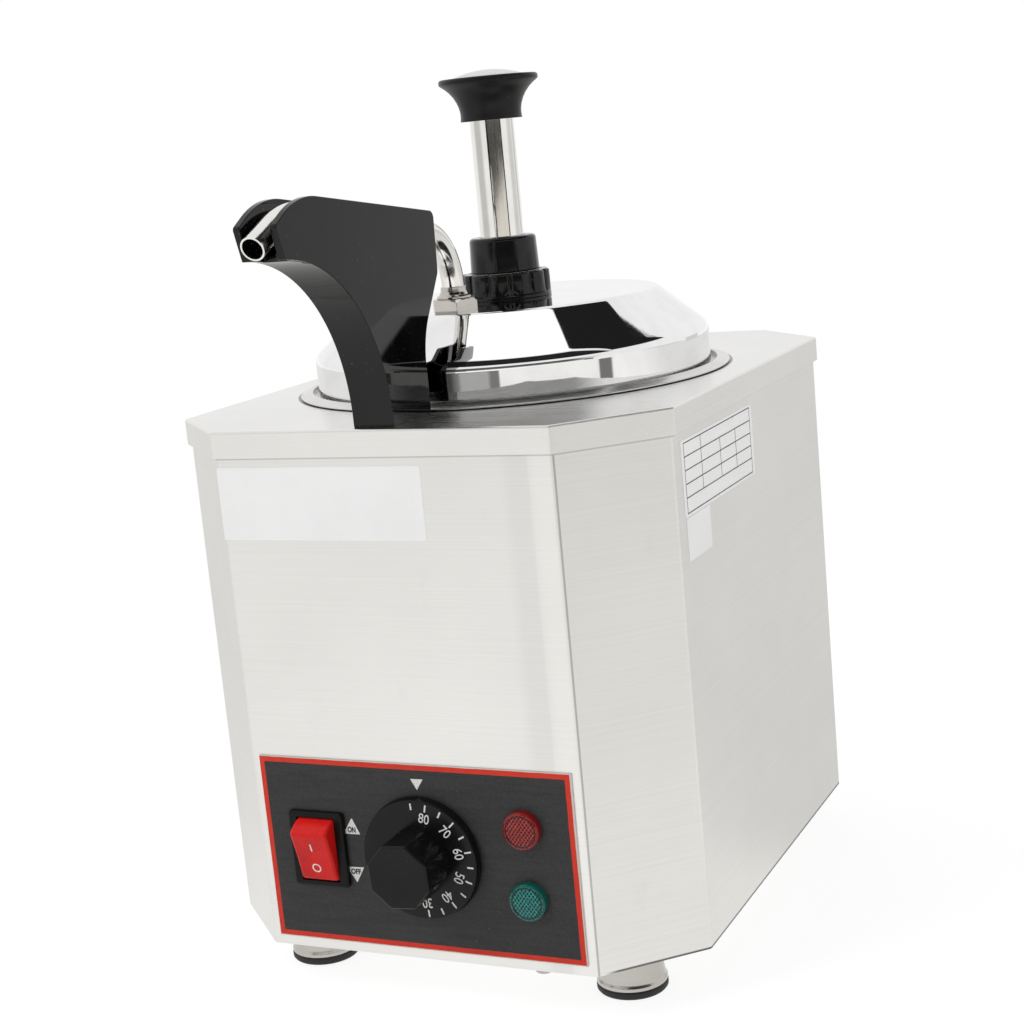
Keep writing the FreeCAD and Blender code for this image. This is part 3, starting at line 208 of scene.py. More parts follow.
def wall_shadows(g, place):
    """Painted shadows: a dark line under the top pan's skirt, painted shade down the front sheet's right fold, and a
    dark line along the bottom plate's edge where it meets the walls.
    """
    x, y, z = g.axes(place)
    skirt = g.times(g.between(z, 215.6 * MM, 216.6 * MM, 0.25 * MM), 0.3)
    fold_shade = g.times(g.between(x, 69.7 * MM, 70.1 * MM, 0.2 * MM), g.span(y, -110.0 * MM, -115.0 * MM))
    foot = g.times(g.span(z, 20.5 * MM, 20.1 * MM), g.span(x, 71.0 * MM, 76.0 * MM))
    return g.math("MAXIMUM", skirt, g.math("MAXIMUM", g.times(fold_shade, 0.45), g.times(foot, 0.85)))


def wall_reflection(g, place):
    """Painted reflection where the front sheet bows: a duller strip and a brighter one by its right fold."""
    x, y, _ = g.axes(place)
    front = g.span(y, -124.0 * MM, -124.8 * MM)
    dull = g.times(g.between(x, 53.5 * MM, 58.0 * MM, 6.0 * MM), -0.045)
    bright = g.times(g.between(x, 60.5 * MM, 70.0 * MM, 1.2 * MM), 0.04)
    return g.times(front, g.plus(dull, bright))


def polished(name, colour, rough, lines="ring", grain=0.05, smears=0.05):
    """Polished steel with fine turned or drawn lines."""
    material, g = new_material(name)
    place = g.place()
    if lines == "ring":
        x, y, z = g.axes(place)
        along = g.add("ShaderNodeCombineXYZ", {"X": g.far(x, y), "Y": z, "Z": g.times(x, 0.004)}).outputs[0]
        fine = g.noise(along, 2600.0, 3.0)
    else:
        fine = g.noise(g.stretched(2600, 2600, 9, place), 1.0, 3.0)
    cloud = g.noise(place, 60.0, 4.0, 0.6)
    smear = g.span(g.noise(place, 28.0, 5.0, 0.7), 0.5, 0.75)
    shade = g.mix(g.span(cloud, 0.35, 0.65), scaled(colour, 0.93), colour)
    roughness = g.plus(rough, g.times(smear, smears))
    roughness = g.plus(roughness, g.span(fine, 0.3, 0.7, 0.0, grain, False))
    finish_surface(g, shade, roughness, fine, 0.06, 0.00001, Metallic=1.0)
    return material


def plastic(name, colour, rough, speck=0.3, grain=420.0, bump=0.05, **fixed):
    """Moulded plastic with a faint texture, dust and scuffs."""
    material, g = new_material(name)
    place = g.place()
    fine = g.noise(place, grain, 4.0, 0.6)
    cloud = g.noise(place, 38.0, 4.0, 0.6)
    dust = g.span(g.noise(place, 900.0, 1.0), 0.74, 0.8)
    shade = g.mix(g.span(cloud, 0.3, 0.7), scaled(colour, 0.8), scaled(colour, 1.2, 0.002))
    shade = g.mix(g.times(dust, speck), shade, scaled(colour, 0.7, 0.28))
    roughness = g.plus(rough, g.span(cloud, 0.3, 0.7, -0.03, 0.04, False))
    roughness = g.plus(roughness, g.times(dust, 0.2))
    finish_surface(g, shade, roughness, fine, bump, 0.0001, **fixed)
    return material


def metal(name, colour, rough, grain=300.0, bump=0.2, spread=0.12):
    """Plain metal: plated, cast or drawn."""
    material, g = new_material(name)
    place = g.place()
    fine = g.noise(place, grain, 5.0, 0.65)
    cloud = g.noise(place, 70.0, 3.0)
    shade = g.mix(g.span(cloud, 0.3, 0.7), scaled(colour, 1 - 2 * spread), colour)
    roughness = g.span(fine, 0.3, 0.7, rough - 0.06, rough + 0.08, False)
    finish_surface(g, shade, roughness, fine, bump, 0.0001, Metallic=1.0)
    return material


def panel_print(name):
    """Dark grey printed plate with a red border and a faint brushed grain."""
    material, g = new_material(name)
    place = g.place()
    x, y, z = g.axes(place)
    off_x = g.minus(66.25 * MM, g.math("ABSOLUTE", g.plus(x, g.times(z, 0.004))))
    off_z = g.minus(37.5 * MM, g.math("ABSOLUTE", g.minus(z, 61.0 * MM)))
    edge = g.math("MINIMUM", off_x, off_z)
    wobble = g.times(g.minus(g.noise(place, 160.0, 3.0), 0.5), 0.3 * MM)
    edge = g.plus(edge, wobble)
    border = g.times(g.span(edge, 0.3 * MM, 0.4 * MM), g.span(edge, 2.45 * MM, 2.35 * MM))
    outside = g.span(edge, 0.42 * MM, 0.32 * MM)
    lines = g.noise(g.stretched(60, 60, 600, place), 1.0, 4.0, 0.6)
    fine = g.noise(place, 1500.0, 3.0)
    speck = g.span(g.noise(place, 700.0, 2.0), 0.72, 0.78)
    grey = g.mix(g.span(g.plus(lines, fine), 0.7, 1.3), rgb(46, 46, 47), rgb(60, 59, 59))
    grey = g.mix(g.times(speck, 0.35), grey, rgb(150, 148, 146))
    shade = g.mix(border, grey, g.mix(g.noise(place, 220.0), rgb(208, 44, 28), rgb(226, 66, 46)))
    shade = g.mix(outside, shade, rgb(214, 206, 200))
    finish_surface(g, shade, g.span(lines, 0.3, 0.7, 0.36, 0.5, False), g.plus(lines, fine), 0.08, 0.00006,
                   Specular_IOR_Level=0.25)
    return material


def printed(name, colour):
    """Screen-printed ink."""
    material, g = new_material(name)
    place = g.place()
    fine = g.noise(place, 1800.0, 3.0)
    shade = g.mix(g.span(fine, 0.35, 0.6), scaled(colour, 0.82), colour)
    finish_surface(g, shade, g.span(fine, 0.3, 0.7, 0.42, 0.55, False), fine, 0.1, 0.00005)
    return material


def lens(name, colour, deep, light, height):
    """Coloured lamp lens: painted highlights as light lines between dark facets, inside a lighter ring."""
    material, g = new_material(name)
    place = g.place()
    x, _, z = g.axes(place)
    u = g.minus(x, LENS_X * MM)
    v = g.minus(z, height * MM)
    far = g.far(u, v)
    lean = g.times(v, LENS_LEAN)
    lines = []
    for slant in (g.plus(u, lean), g.minus(u, lean)):
        cell = g.math("FRACT", g.math("DIVIDE", slant, LENS_PITCH * MM))
        lines.append(g.math("ABSOLUTE", g.minus(cell, 0.5)))
    cloud = g.noise(place, 900.0, 3.0)
    # Painted highlight: the light colour is laid along the facets' edges.
    cross = g.times(g.span(g.math("MAXIMUM", *lines), 0.3, 0.46), g.span(cloud, 0.35, 0.6, 0.45, 1.0), 0.85)
    shade = g.mix(cross, deep, light)
    shade = g.mix(g.between(far, 5.7 * MM, 6.2 * MM, 0.25 * MM), shade, deep)
    shade = g.mix(g.span(far, 6.4 * MM, 6.7 * MM), shade, colour)
    finish_surface(g, shade, g.span(cloud, 0.3, 0.7, 0.06, 0.12, False), cloud, 0.02, 0.00003,
                   Transmission_Weight=0.15, IOR=1.49, Specular_IOR_Level=0.35)
    return material


def paper(name):
    """A blank white sticker with faint fibres and a slightly uneven tone."""
    material, g = new_material(name)
    place = g.place()
    fibre = g.noise(place, 2200.0, 4.0, 0.7)
    cloud = g.noise(place, 45.0, 4.0)
    shade = g.mix(g.span(cloud, 0.3, 0.7), rgb(246, 246, 246), rgb(249, 249, 249))
    shade = g.mix(g.span(fibre, 0.62, 0.72, 0.0, 0.3), shade, rgb(222, 221, 218))
    finish_surface(g, shade, g.span(fibre, 0.3, 0.7, 0.35, 0.5, False), fibre, 0.08, 0.00005)
    return material


STEEL = rgb(232, 231, 228)
BRUSHED = sheet_steel("brushed_stainless", STEEL, 0.34)
# The walls carry painted shadows and a painted reflection on the front sheet.
WALLS = sheet_steel("brushed_walls", STEEL, 0.34, painted_shadows=wall_shadows, painted_reflection=wall_reflection)
# The deck carries a painted shadow round the pot's rim.
DECK = sheet_steel("brushed_deck", STEEL, 0.3, top_rough=0.24, painted_shadows=rim_shadow)
# The feet's steel is darker: painted shade, as they stand in the housing's shadow.
SHADED_CUP = sheet_steel("brushed_cup_shaded", rgb(190, 187, 182), 0.22)
SATIN = polished("satin_stainless", rgb(222, 221, 219), 0.2, grain=0.14)
MIRROR = polished("mirror_lid", rgb(242, 242, 242), 0.015, grain=0.02, smears=0.02)
DRAWN = polished("mirror_drawn", rgb(236, 234, 230), 0.05, lines="drawn", grain=0.04)
TUBE = polished("drawn_tube", rgb(238, 236, 232), 0.12, grain=0.02, smears=0.03)
FITTING = polished("turned_fitting", rgb(194, 190, 184), 0.13, grain=0.06)
GLOSS = plastic("black_gloss", neutral(0.004), 0.1, 0.2, 300.0, 0.02, Specular_IOR_Level=0.32)
GUARD = plastic("black_guard", neutral(0.002), 0.05, 0.3, 240.0, 0.002, Specular_IOR_Level=0.29)
KNOB = plastic("black_satin", neutral(0.007), 0.36, 0.2, 900.0, 0.12, Specular_IOR_Level=0.22)
DIAL = plastic("black_dial", neutral(0.005), 0.22, 0.06, 700.0, 0.05, Specular_IOR_Level=0.2)
SWITCH = plastic("black_switch", neutral(0.004), 0.33, 0.2, 900.0, 0.1, Specular_IOR_Level=0.15)
RUBBER = plastic("black_rubber", neutral(0.014), 0.6, 0.2, 700.0, 0.3)
GREY_RUBBER = plastic("grey_rubber", [0.3, 0.3, 0.29, 1], 0.55, 0.1, 600.0, 0.3)
RED = plastic("rocker_red", [0.66, 0.01, 0.008, 1], 0.26, 0.03, 200.0, 0.02, Subsurface_Weight=0.12,
              Subsurface_Radius=(0.004, 0.001, 0.001), Specular_IOR_Level=0.2)
NYLON = plastic("white_plastic", [0.72, 0.71, 0.68, 1], 0.4, 0.1, 500.0, 0.1)
PHENOLIC = plastic("phenolic_brown", [0.075, 0.035, 0.018, 1], 0.45, 0.1, 500.0, 0.2)
CERAMIC = plastic("glazed_white", [0.75, 0.71, 0.65, 1], 0.2, 0.1, 120.0, 0.1)
CAP_SILVER = metal("cap_silver", rgb(222, 222, 221), 0.32, 900.0, 0.05, 0.03)
ZINC = metal("zinc_steel", rgb(190, 190, 188), 0.35)
SPRING = metal("spring_steel", rgb(168, 168, 170), 0.28, 500.0, 0.1)
CAST = metal("cast_aluminium", rgb(182, 182, 180), 0.5, 260.0, 0.6)
BRASS = metal("brass_parts", rgb(202, 168, 96), 0.3, 300.0, 0.1)
COPPER = metal("copper_sensor", rgb(190, 118, 84), 0.32, 300.0, 0.1)
PANEL = panel_print("panel_print")
WHITE_INK = printed("white_ink", rgb(240, 240, 238))
DARK_INK = printed("dark_ink", rgb(14, 14, 15))
# Each lens: its ring colour, its deep colour, the colour of its painted highlight lines, and its height.
LENS_RED = lens("lens_red", rgb(140, 22, 24), rgb(86, 6, 10), rgb(232, 84, 78), LENS_RED_Z)
LENS_GREEN = lens("lens_green", rgb(10, 96, 88), rgb(4, 58, 56), rgb(56, 198, 188), LENS_GREEN_Z)
PAPER = paper("blank_sticker")

CORNERS = ("front_left", "front_right", "back_left", "back_right")
NODE_MATERIALS = {
    BRUSHED: ["base_pan"],
    WALLS: ["outer_shell"],
    DECK: ["deck_cover"],
    SHADED_CUP: ["foot_cup_" + c for c in CORNERS],
    SATIN: ["inner_pot", "water_tank", "bulb_clip"],
    MIRROR: ["lid", "intake_ball", "discharge_ball"],
    DRAWN: ["plunger_rod"],
    TUBE: ["discharge_tube"],
    FITTING: ["tube_nut", "tube_ferrule", "tube_locknut"],
    ZINC: ["base_screws", "foot_screws", "foot_nuts", "thermostat_screws", "terminal_screws", "guard_screws",
           "heater_clamp", "heater_nut", "lamp_nuts"],
    SPRING: ["return_spring", "thermostat_shaft"],
    CAST: ["heating_plate"],
    BRASS: ["earth_stud", "earth_nut"],
    COPPER: ["sensing_bulb"],
    GLOSS: ["gland_cap", "pump_nut"],
    GUARD: ["spout_guard"],
    KNOB: ["push_knob", "cable_gland", "gland_nut"],
    DIAL: ["dial_knob"],
    SWITCH: ["switch_body"],
    RUBBER: ["foot_pad_" + c for c in CORNERS] + ["piston_seal"],
    GREY_RUBBER: ["pump_gasket"],
    PANEL: ["control_panel"],
    RED: ["switch_rocker"],
    LENS_RED: ["red_lamp_lens"],
    LENS_GREEN: ["green_lamp_lens"],
    NYLON: ["pump_cylinder", "valve_block", "piston", "red_lamp_body", "green_lamp_body"],
    CAP_SILVER: ["knob_cap"],
    PHENOLIC: ["thermostat_body"],
    CERAMIC: ["terminal_block"],
}
for material, names in NODE_MATERIALS.items():
    for name in names:
        slots = frame["nodes"][name].data.materials
        slots.clear()
        slots.append(material)


# Mesh helpers, in millimetres

def rounded(points, steps=6):
    """A chain of (u, v) from (u, v, corner radius) points, open at its ends."""
    out = []
    for i, (u, v, radius) in enumerate(points):
        if radius <= 0 or i == 0 or i == len(points) - 1:
            out.append((u, v))
            continue
        here = Vector((u, v))
        back = (Vector(points[i - 1][:2]) - here).normalized()
        ahead = (Vector(points[i + 1][:2]) - here).normalized()
        half = back.angle(ahead) / 2
        centre = here + (back + ahead).normalized() * (radius / math.sin(half))
        first = here + back * (radius / math.tan(half)) - centre
        last = here + ahead * (radius / math.tan(half)) - centre
        sweep = math.pi - 2 * half
        turn = 1 if first.cross(last) > 0 else -1
        for k in range(steps + 1):
            angle = turn * sweep * k / steps
            out.append((centre.x + first.x * math.cos(angle) - first.y * math.sin(angle),
                        centre.y + first.x * math.sin(angle) + first.y * math.cos(angle)))
    return out


def closed_round(points, steps=6):
    """As rounded, but every corner of a closed outline may be rounded."""
    count = len(points)
    out = []
    for i in range(count):
        out += rounded([points[i - 1][:2] + (0,), points[i], points[(i + 1) % count][:2] + (0,)], steps)[1:-1]
    return out


def rounded_box(width, height, radius, steps):
    """A rectangle about the origin with rounded corners."""
    corners = ((-1, -1), (1, -1), (1, 1), (-1, 1))
    return closed_round([(i * width / 2, j * height / 2, radius) for i, j in corners], steps)


def polar(radius, degrees):
    """(u, v) at a distance and an angle."""
    return radius * math.cos(math.radians(degrees)), radius * math.sin(math.radians(degrees))


def turned(degrees, axis):
    return Matrix.Rotation(math.radians(degrees), 4, axis)


def shifted(x, y, z):
    return Matrix.Translation((x, y, z))


def narrowed(share):
    """A squeeze along X."""
    return Matrix.Diagonal((share, 1.0, 1.0, 1.0))


def mesh_from(bm, name):
    mesh = bpy.data.meshes.new(name)
    bm.to_mesh(mesh)
    bm.free()
    return mesh


def add_object(name, data):
    item = bpy.data.objects.new(name, data)
    bpy.context.scene.collection.objects.link(item)
    return item


def make(name, bm, material, node=None, body=None, sharp=32.0, moved=None):
    """Turns a bmesh in millimetres into a piece that rides on its body and replaces its node."""
    bmesh.ops.remove_doubles(bm, verts=bm.verts, dist=0.0005)
    bmesh.ops.recalc_face_normals(bm, faces=bm.faces)
    bmesh.ops.transform(bm, matrix=(moved or Matrix.Identity(4)), verts=bm.verts)
    bmesh.ops.scale(bm, vec=(MM, MM, MM), verts=bm.verts)
    mesh = mesh_from(bm, name)
    piece = add_object(name, mesh)
    mesh.materials.append(material)
    smooth(mesh, sharp)
    if body or node:
        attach(piece, body or BODY_OF[node])
    if node:
        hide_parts(node)
    return piece


def smooth(mesh, sharp):
    """Shades a mesh smooth, but for the edges that turn by more than an angle."""
    for polygon in mesh.polygons:
        polygon.use_smooth = True
    mesh.set_sharp_from_angle(angle=math.radians(sharp))


def bridge(bm, a, b):
    """Faces between two rings of the same count."""
    for k in range(len(a)):
        n = (k + 1) % len(a)
        bm.faces.new((a[k], b[k], b[n], a[n]))


def spun(profile, segments=96, closed=False, shape=None, centre=(0.0, 0.0)):
    """A turned surface from (radius, height) points. A shape function may change the radius by angle."""
    bm = bmesh.new()
    rings = []
    for radius, z in profile:
        if radius < 1e-6:
            rings.append([bm.verts.new((centre[0], centre[1], z))])
            continue
        ring = []
        for k in range(segments):
            angle = 2 * math.pi * k / segments
            r = shape(radius, z, angle) if shape else radius
            ring.append(bm.verts.new((centre[0] + r * math.cos(angle), centre[1] + r * math.sin(angle), z)))
        rings.append(ring)
    pairs = list(zip(rings, rings[1:]))
    if closed:
        pairs.append((rings[-1], rings[0]))
    for a, b in pairs:
        if len(a) == len(b):
            if len(a) > 1:
                bridge(bm, a, b)
            continue
        for k in range(segments):
            n = (k + 1) % segments
            bm.faces.new((a[0], b[k], b[n]) if len(a) == 1 else (a[k], b[0], a[n]))
    return bm


def frustum(base, low, top, high):
    """A solid between two (x, y) outlines of the same count."""
    bm = bmesh.new()
    under = [bm.verts.new((x, y, low)) for x, y in base]
    over = [bm.verts.new((x, y, high)) for x, y in top]
    bm.faces.new(under)
    bm.faces.new(over)
    for i in range(len(base)):
        n = (i + 1) % len(base)
        bm.faces.new((under[i], under[n], over[n], over[i]))
    return bm


def prism(outline, low, high):
    """An upright prism over (x, y) points."""
    return frustum(outline, low, outline, high)


def across(outline, x0, x1):
    """A prism that runs in X over (y, z) points."""
    bm = prism(outline, x0, x1)
    turn = Matrix(((0, 0, 1, 0), (1, 0, 0, 0), (0, 1, 0, 0), (0, 0, 0, 1)))
    bmesh.ops.transform(bm, matrix=turn, verts=bm.verts)
    return bm


def bevel(piece, width, segments=3, angle=30.0, sharp=40.0):
    """Applies a bevel to the sharp edges."""
    modifier = piece.modifiers.new("edges", "BEVEL")
    modifier.width = width * MM
    modifier.segments = segments
    modifier.limit_method = "ANGLE"
    modifier.angle_limit = math.radians(angle)
    modifier.miter_outer = "MITER_ARC"
    modifier.use_clamp_overlap = True
    apply(piece)
    smooth(piece.data, sharp)
    modifier = piece.modifiers.new("faces", "WEIGHTED_NORMAL")
    modifier.weight = 100
    modifier.keep_sharp = True
    apply(piece)


def cut(piece, cutters):
    """Cuts scratch pieces out of a piece."""
    for cutter in cutters:
        modifier = piece.modifiers.new("cut", "BOOLEAN")
        modifier.operation = "DIFFERENCE"
        modifier.solver = "EXACT"
        modifier.object = cutter
        apply(piece)
        bpy.data.objects.remove(cutter)


def apply(piece):
    """Bakes a piece's modifiers into its mesh."""
    bpy.context.view_layer.update()
    graph = bpy.context.evaluated_depsgraph_get()
    mesh = bpy.data.meshes.new_from_object(piece.evaluated_get(graph), preserve_all_data_layers=True, depsgraph=graph)
    piece.modifiers.clear()
    piece.data = mesh


def scratch(bm):
    """An unseen cutter."""
    bmesh.ops.recalc_face_normals(bm, faces=bm.faces)
    bmesh.ops.scale(bm, vec=(MM, MM, MM), verts=bm.verts)
    return add_object("cutter", mesh_from(bm, "cutter"))


def to_front(x, z, lift=0.0):
    """Lays something built upwards in z onto the front wall, about (x, z)."""
    return shifted(x, FRONT_Y - lift, z) @ turned(90, "X")


def to_side(y, z):
    """Lays something built upwards in z onto the right wall, about (y, z)."""
    return shifted(SIDE_X, y, z) @ turned(90, "Z") @ turned(90, "X")


def lettering(words, size, depth, bold):
    """Flat letters about the origin, in the XY plane, in millimetres."""
    curve = bpy.data.curves.new("letters", "FONT")
    curve.body = words
    curve.size = size
    curve.align_x = "CENTER"
    curve.align_y = "CENTER"
    curve.offset = bold
    curve.resolution_u = 6
    text = add_object("letters", curve)
    bpy.context.view_layer.update()
    mesh = bpy.data.meshes.new_from_object(text)
    bpy.data.objects.remove(text)
    bm = bmesh.new()
    bm.from_mesh(mesh)
    bmesh.ops.remove_doubles(bm, verts=bm.verts, dist=0.0001)
    low = [min(v.co[i] for v in bm.verts) for i in (0, 1)]
    high = [max(v.co[i] for v in bm.verts) for i in (0, 1)]
    bmesh.ops.translate(bm, vec=(-(low[0] + high[0]) / 2, -(low[1] + high[1]) / 2, 0), verts=bm.verts)
    thicken(bm, depth)
    return bm


def thicken(bm, depth):
    """Gives flat faces a little thickness upwards, and sorts them, because the order of new sides varies by run."""
    extruded = bmesh.ops.extrude_face_region(bm, geom=list(bm.faces))
    tops = [item for item in extruded["geom"] if isinstance(item, bmesh.types.BMVert)]
    bmesh.ops.translate(bm, vec=(0, 0, depth), verts=tops)
    bm.verts.index_update()
    ordered = sorted(bm.faces, key=lambda face: sorted(v.index for v in face.verts))
    rank = {face: k for k, face in enumerate(ordered)}
    bm.faces.sort(key=rank.get)


def joined(parts):
    """One bmesh from (bmesh, matrix) pairs."""
    whole = bmesh.new()
    for bm, matrix in parts:
        bmesh.ops.transform(bm, matrix=matrix, verts=bm.verts)
        mesh = mesh_from(bm, "scratch")
        whole.from_mesh(mesh)
        bpy.data.meshes.remove(mesh)
    return whole


def flat_patch(outline, low, depth):
    """A thin prism over (x, y) points."""
    return prism(outline, low, low + depth)


def at(x, y, z, turn=0.0):
    """A place for something built about the origin, with a turn about Z."""
    return shifted(x, y, z) @ turned(turn, "Z")


# Lid, pot rim and pump head

def bore(top):
    """A cutter for the tube's hole."""
    return scratch(spun([(0, 250), (4.6, 250), (4.6, top), (0, top)], 48, centre=(TUBE_X, TUBE_Y)))


# The added points keep the flat top, the cone and the wall straight up to their rounded edges.
lid_outer = rounded([(PUMP_HOLE, LID_TOP, 0), (62.5, LID_TOP, 3.5), (82.3, 242.7, 6.0), (82.3, LID_EDGE, 0)], 14)
lid_outer[1:1] = [(60.4, LID_TOP)]
lid_outer[17:17] = [(64.03, 258.57), (79.8, 244.87)]
lid_outer[-1:-1] = [(82.3, 239.3)]
lid_inner = rounded([(81.3, LID_EDGE, 0), (81.3, 242.2, 5.0), (62.1, 258.9, 2.5), (PUMP_HOLE, 258.9, 0)], 10)
lid = make("lid_dome", spun(lid_outer + lid_inner, 192, closed=True), MIRROR, "lid", sharp=40)
cut(lid, [bore(265)])
smooth(lid.data, 40)

pot_profile = rounded([(0, 104.1, 0), (80, 104.1, 9), (80, 224.7, 0.6), (85.7, 224.7, 0.5), (85.7, 227.7, 0.9),
                       (88.9, 226.6, 0.15), (90, 226.6, 0.35), (90, 227.4, 0.35), (85.6, 228.9, 0.5),
                       (84.75, 228.7, 0.3), (84.7, 225.7, 0.3), (79, 225.7, 0.4), (79, 105.1, 8), (0, 105.1, 0)], 5)
make("pot_bowl", spun(pot_profile, 160), SATIN, "inner_pot", sharp=40)

rod_profile = rounded([(9.1, 206, 0), (9.1, 344.6, 0), (8.1, 344.6, 0), (8.1, 206, 0)], 2)
make("rod_tube", spun(rod_profile, 96, closed=True), DRAWN, "plunger_rod")

cap_profile = rounded([(12.5, 270.6, 0), (14.0, 270.6, 0), (14.3, 271.2, 0.3), (13.8, 285.2, 1.7), (9.8, 285.2, 0.4),
                       (9.16, 284.6, 0), (9.16, 280.7, 0), (12.5, 280.7, 0)], 8)
make("guide_cap", spun(cap_profile, 96, closed=True), GLOSS, "gland_cap", sharp=35)


def fluted(radius, z, angle):
    """Shallow grooves round the nut, above its foot. The bore stays round."""
    if radius < 16:
        return radius
    grooves = 12
    depth, half_width, swell = 0.75, 0.85, 0.28
    step = 2 * math.pi / grooves
    off = (angle / step + 0.5) % 1.0 - 0.5
    away = abs(off) * step * radius
    groove = depth * math.exp(-((away / half_width) ** 4))
    start = min(1.0, max(0.0, (z - 261.6) / 0.5))
    return radius - (groove + swell + swell * math.cos(off * 2 * math.pi)) * start


nut_profile = rounded([(PUMP_HOLE, LID_TOP, 0), (18.4, LID_TOP, 0.3), (18.4, 261.2, 0.15), (18.05, 261.5, 0.1),
                       (18.4, 261.8, 0.1), (18.4, 264.0, 0), (18.4, 267.0, 0), (18.3, 270.6, 0.9), (15.2, 270.6, 0.2),
                       (15.0, 270.3, 0.1), (PUMP_HOLE, 270.3, 0)], 5)
make("fluted_nut", spun(nut_profile, 360, closed=True, shape=fluted), GLOSS, "pump_nut", sharp=38)

flare = [(12.75, 332.6), (12.62, 333.1), (12.5, 334.6), (12.55, 336.3), (12.9, 338.2), (13.7, 340.4), (14.9, 342.6),
         (16.5, 344.6), (18.2, 346.2), (19.5, 347.1)]
rim = rounded([(19.5, 347.1, 0), (20.4, 347.9, 0.35), (20.4, 350.0, 1.2), (17.5, 350.05, 0), (15.6, 350.0, 0.3),
               (15.1, 349.6, 0), (15.1, 348.0, 0)], 7)
knob_profile = [(9.2, 344.6), (9.2, 332.6)] + flare + rim[1:] + [(0, 348.0)]
make("palm_knob", spun([(0, 344.6)] + knob_profile, 128), KNOB, "push_knob", sharp=38)

dome = [(15.0, 348.05), (15.0, 349.7)]
for k in range(1, 13):
    share = k / 12
    dome.append((15.0 * (1 - share), 350.0 + 2.8 * (1 - (1 - share) ** 2)))
make("knob_inset", spun([(0, 348.05)] + dome, 96), CAP_SILVER, "knob_cap", sharp=50)


def coil(low, height, mean, wire, turns):
    """A coil spring of round wire about the Z axis."""
    bm = bmesh.new()
    steps, sides = 32, 10
    climb = height / turns / (2 * math.pi * mean)
    rings = []
    for k in range(turns * steps + 1):
        angle = 2 * math.pi * k / steps
        out = Vector((math.cos(angle), math.sin(angle), 0))
        way = Vector((-math.sin(angle), math.cos(angle), climb)).normalized()
        up = way.cross(out)
        centre = out * mean + Vector((0, 0, low + height * k / (turns * steps)))
        rings.append([bm.verts.new(centre + (out * math.cos(a) + up * math.sin(a)) * wire)
                      for a in (2 * math.pi * i / sides for i in range(sides))])
    for a, b in zip(rings, rings[1:]):
        bridge(bm, a, b)
    bm.faces.new(rings[0])
    bm.faces.new(rings[-1])
    return bm


spring = make("spring_coil", coil(124.75, 70.5, 10.15, 0.75, 12), SPRING, "return_spring")
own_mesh(spring)


# Discharge tube and its fitting

def tube_path():
    """(y, z, heading in degrees) stations along the tube: up, forward and down at the nose."""
    foot_z, bend_z, end_y = 131.0, 268.6, -190.0
    bend, nose_bend, nose = 24.6, 40.0, 13.4
    bend_turn, nose_turn = 81.5, 32.5
    lean, fall = math.radians(8.5), math.radians(24.0)
    out = [(TUBE_Y, foot_z + (bend_z - foot_z) * k / 12, 90.0) for k in range(13)]
    for k in range(1, 25):
        turn = bend_turn * k / 24
        ahead, rise = polar(bend, turn)
        out.append((TUBE_Y - bend + ahead, bend_z + rise, 90.0 + turn))
    y, z, heading = out[-1]
    nose_cut = nose_bend * math.tan((lean + fall) / 2)
    second_y = end_y + (nose_cut + nose) * math.cos(fall)
    run = (y - second_y) / math.cos(lean) - nose_cut
    for k in range(1, 13):
        out.append((y - run * math.cos(lean) * k / 12, z + run * math.sin(lean) * k / 12, heading))
    y, z, heading = out[-1]
    centre_y, centre_z = y - nose_bend * math.sin(lean), z - nose_bend * math.cos(lean)
    for k in range(1, 13):
        turn = heading + nose_turn * k / 12
        ahead, rise = polar(nose_bend, turn - 90.0)
        out.append((centre_y + ahead, centre_z + rise, turn))
    y, z, heading = out[-1]
    for k in range(1, 7):
        out.append((y - nose * math.cos(fall) * k / 6, z - nose * math.sin(fall) * k / 6, heading))
    return out


def tube():
    """The tube's outside, its softened mouth and its bore."""
    bm = bmesh.new()
    *stations, last = tube_path()
    sides = 48
    rows = [(s, 4.5) for s in stations]
    rows += [(last, 4.42), (last, 3.78)] + [(s, 3.7) for s in reversed(stations)]
    side = Vector((1, 0, 0))
    rings = []
    for (y, z, heading), radius in rows:
        up = side.cross(Vector((0,) + polar(1.0, heading)))
        ring = []
        for k in range(sides):
            angle = 2 * math.pi * k / sides
            out = side * math.cos(angle) + up * math.sin(angle)
            ring.append(bm.verts.new(Vector((TUBE_X, y, z)) + out * radius))
        rings.append(ring)
    for a, b in zip(rings, rings[1:] + rings[:1]):
        bridge(bm, a, b)
    return bm


make("spout_tube", tube(), TUBE, "discharge_tube", sharp=45)

hexagon = [(TUBE_X + u, TUBE_Y + v) for u, v in (polar(9.815, 60 * k) for k in range(6))]
tube_hex = make("tube_hex", prism(hexagon, LID_TOP, 264.9), FITTING, "tube_nut")
# The ring outside this profile is cut off, which rounds the hexagon's corners.
collar = rounded([(9.2, 250, 0), (9.75, 261.0, 0.3), (9.75, 263.6, 0.3), (8.3, 264.9, 0), (8.3, 270, 0), (14, 270, 0),
                  (14, 250, 0)], 3)
cut(tube_hex, [scratch(spun(collar, 48, closed=True, centre=(TUBE_X, TUBE_Y))), bore(275)])
bevel(tube_hex, 0.25, 2, 35.0, 40.0)
ferrule = rounded([(4.6, 264.9, 0), (7.0, 264.9, 0.3), (7.0, 265.8, 0.4), (5.9, 266.4, 0.8), (5.3, 267.6, 0.8),
                   (5.1, 269.5, 0.2), (4.55, 269.5, 0)], 5)
make("tube_ring", spun(ferrule, 72, closed=True, centre=(TUBE_X, TUBE_Y)), FITTING, "tube_ferrule", sharp=45)


# Spout guard

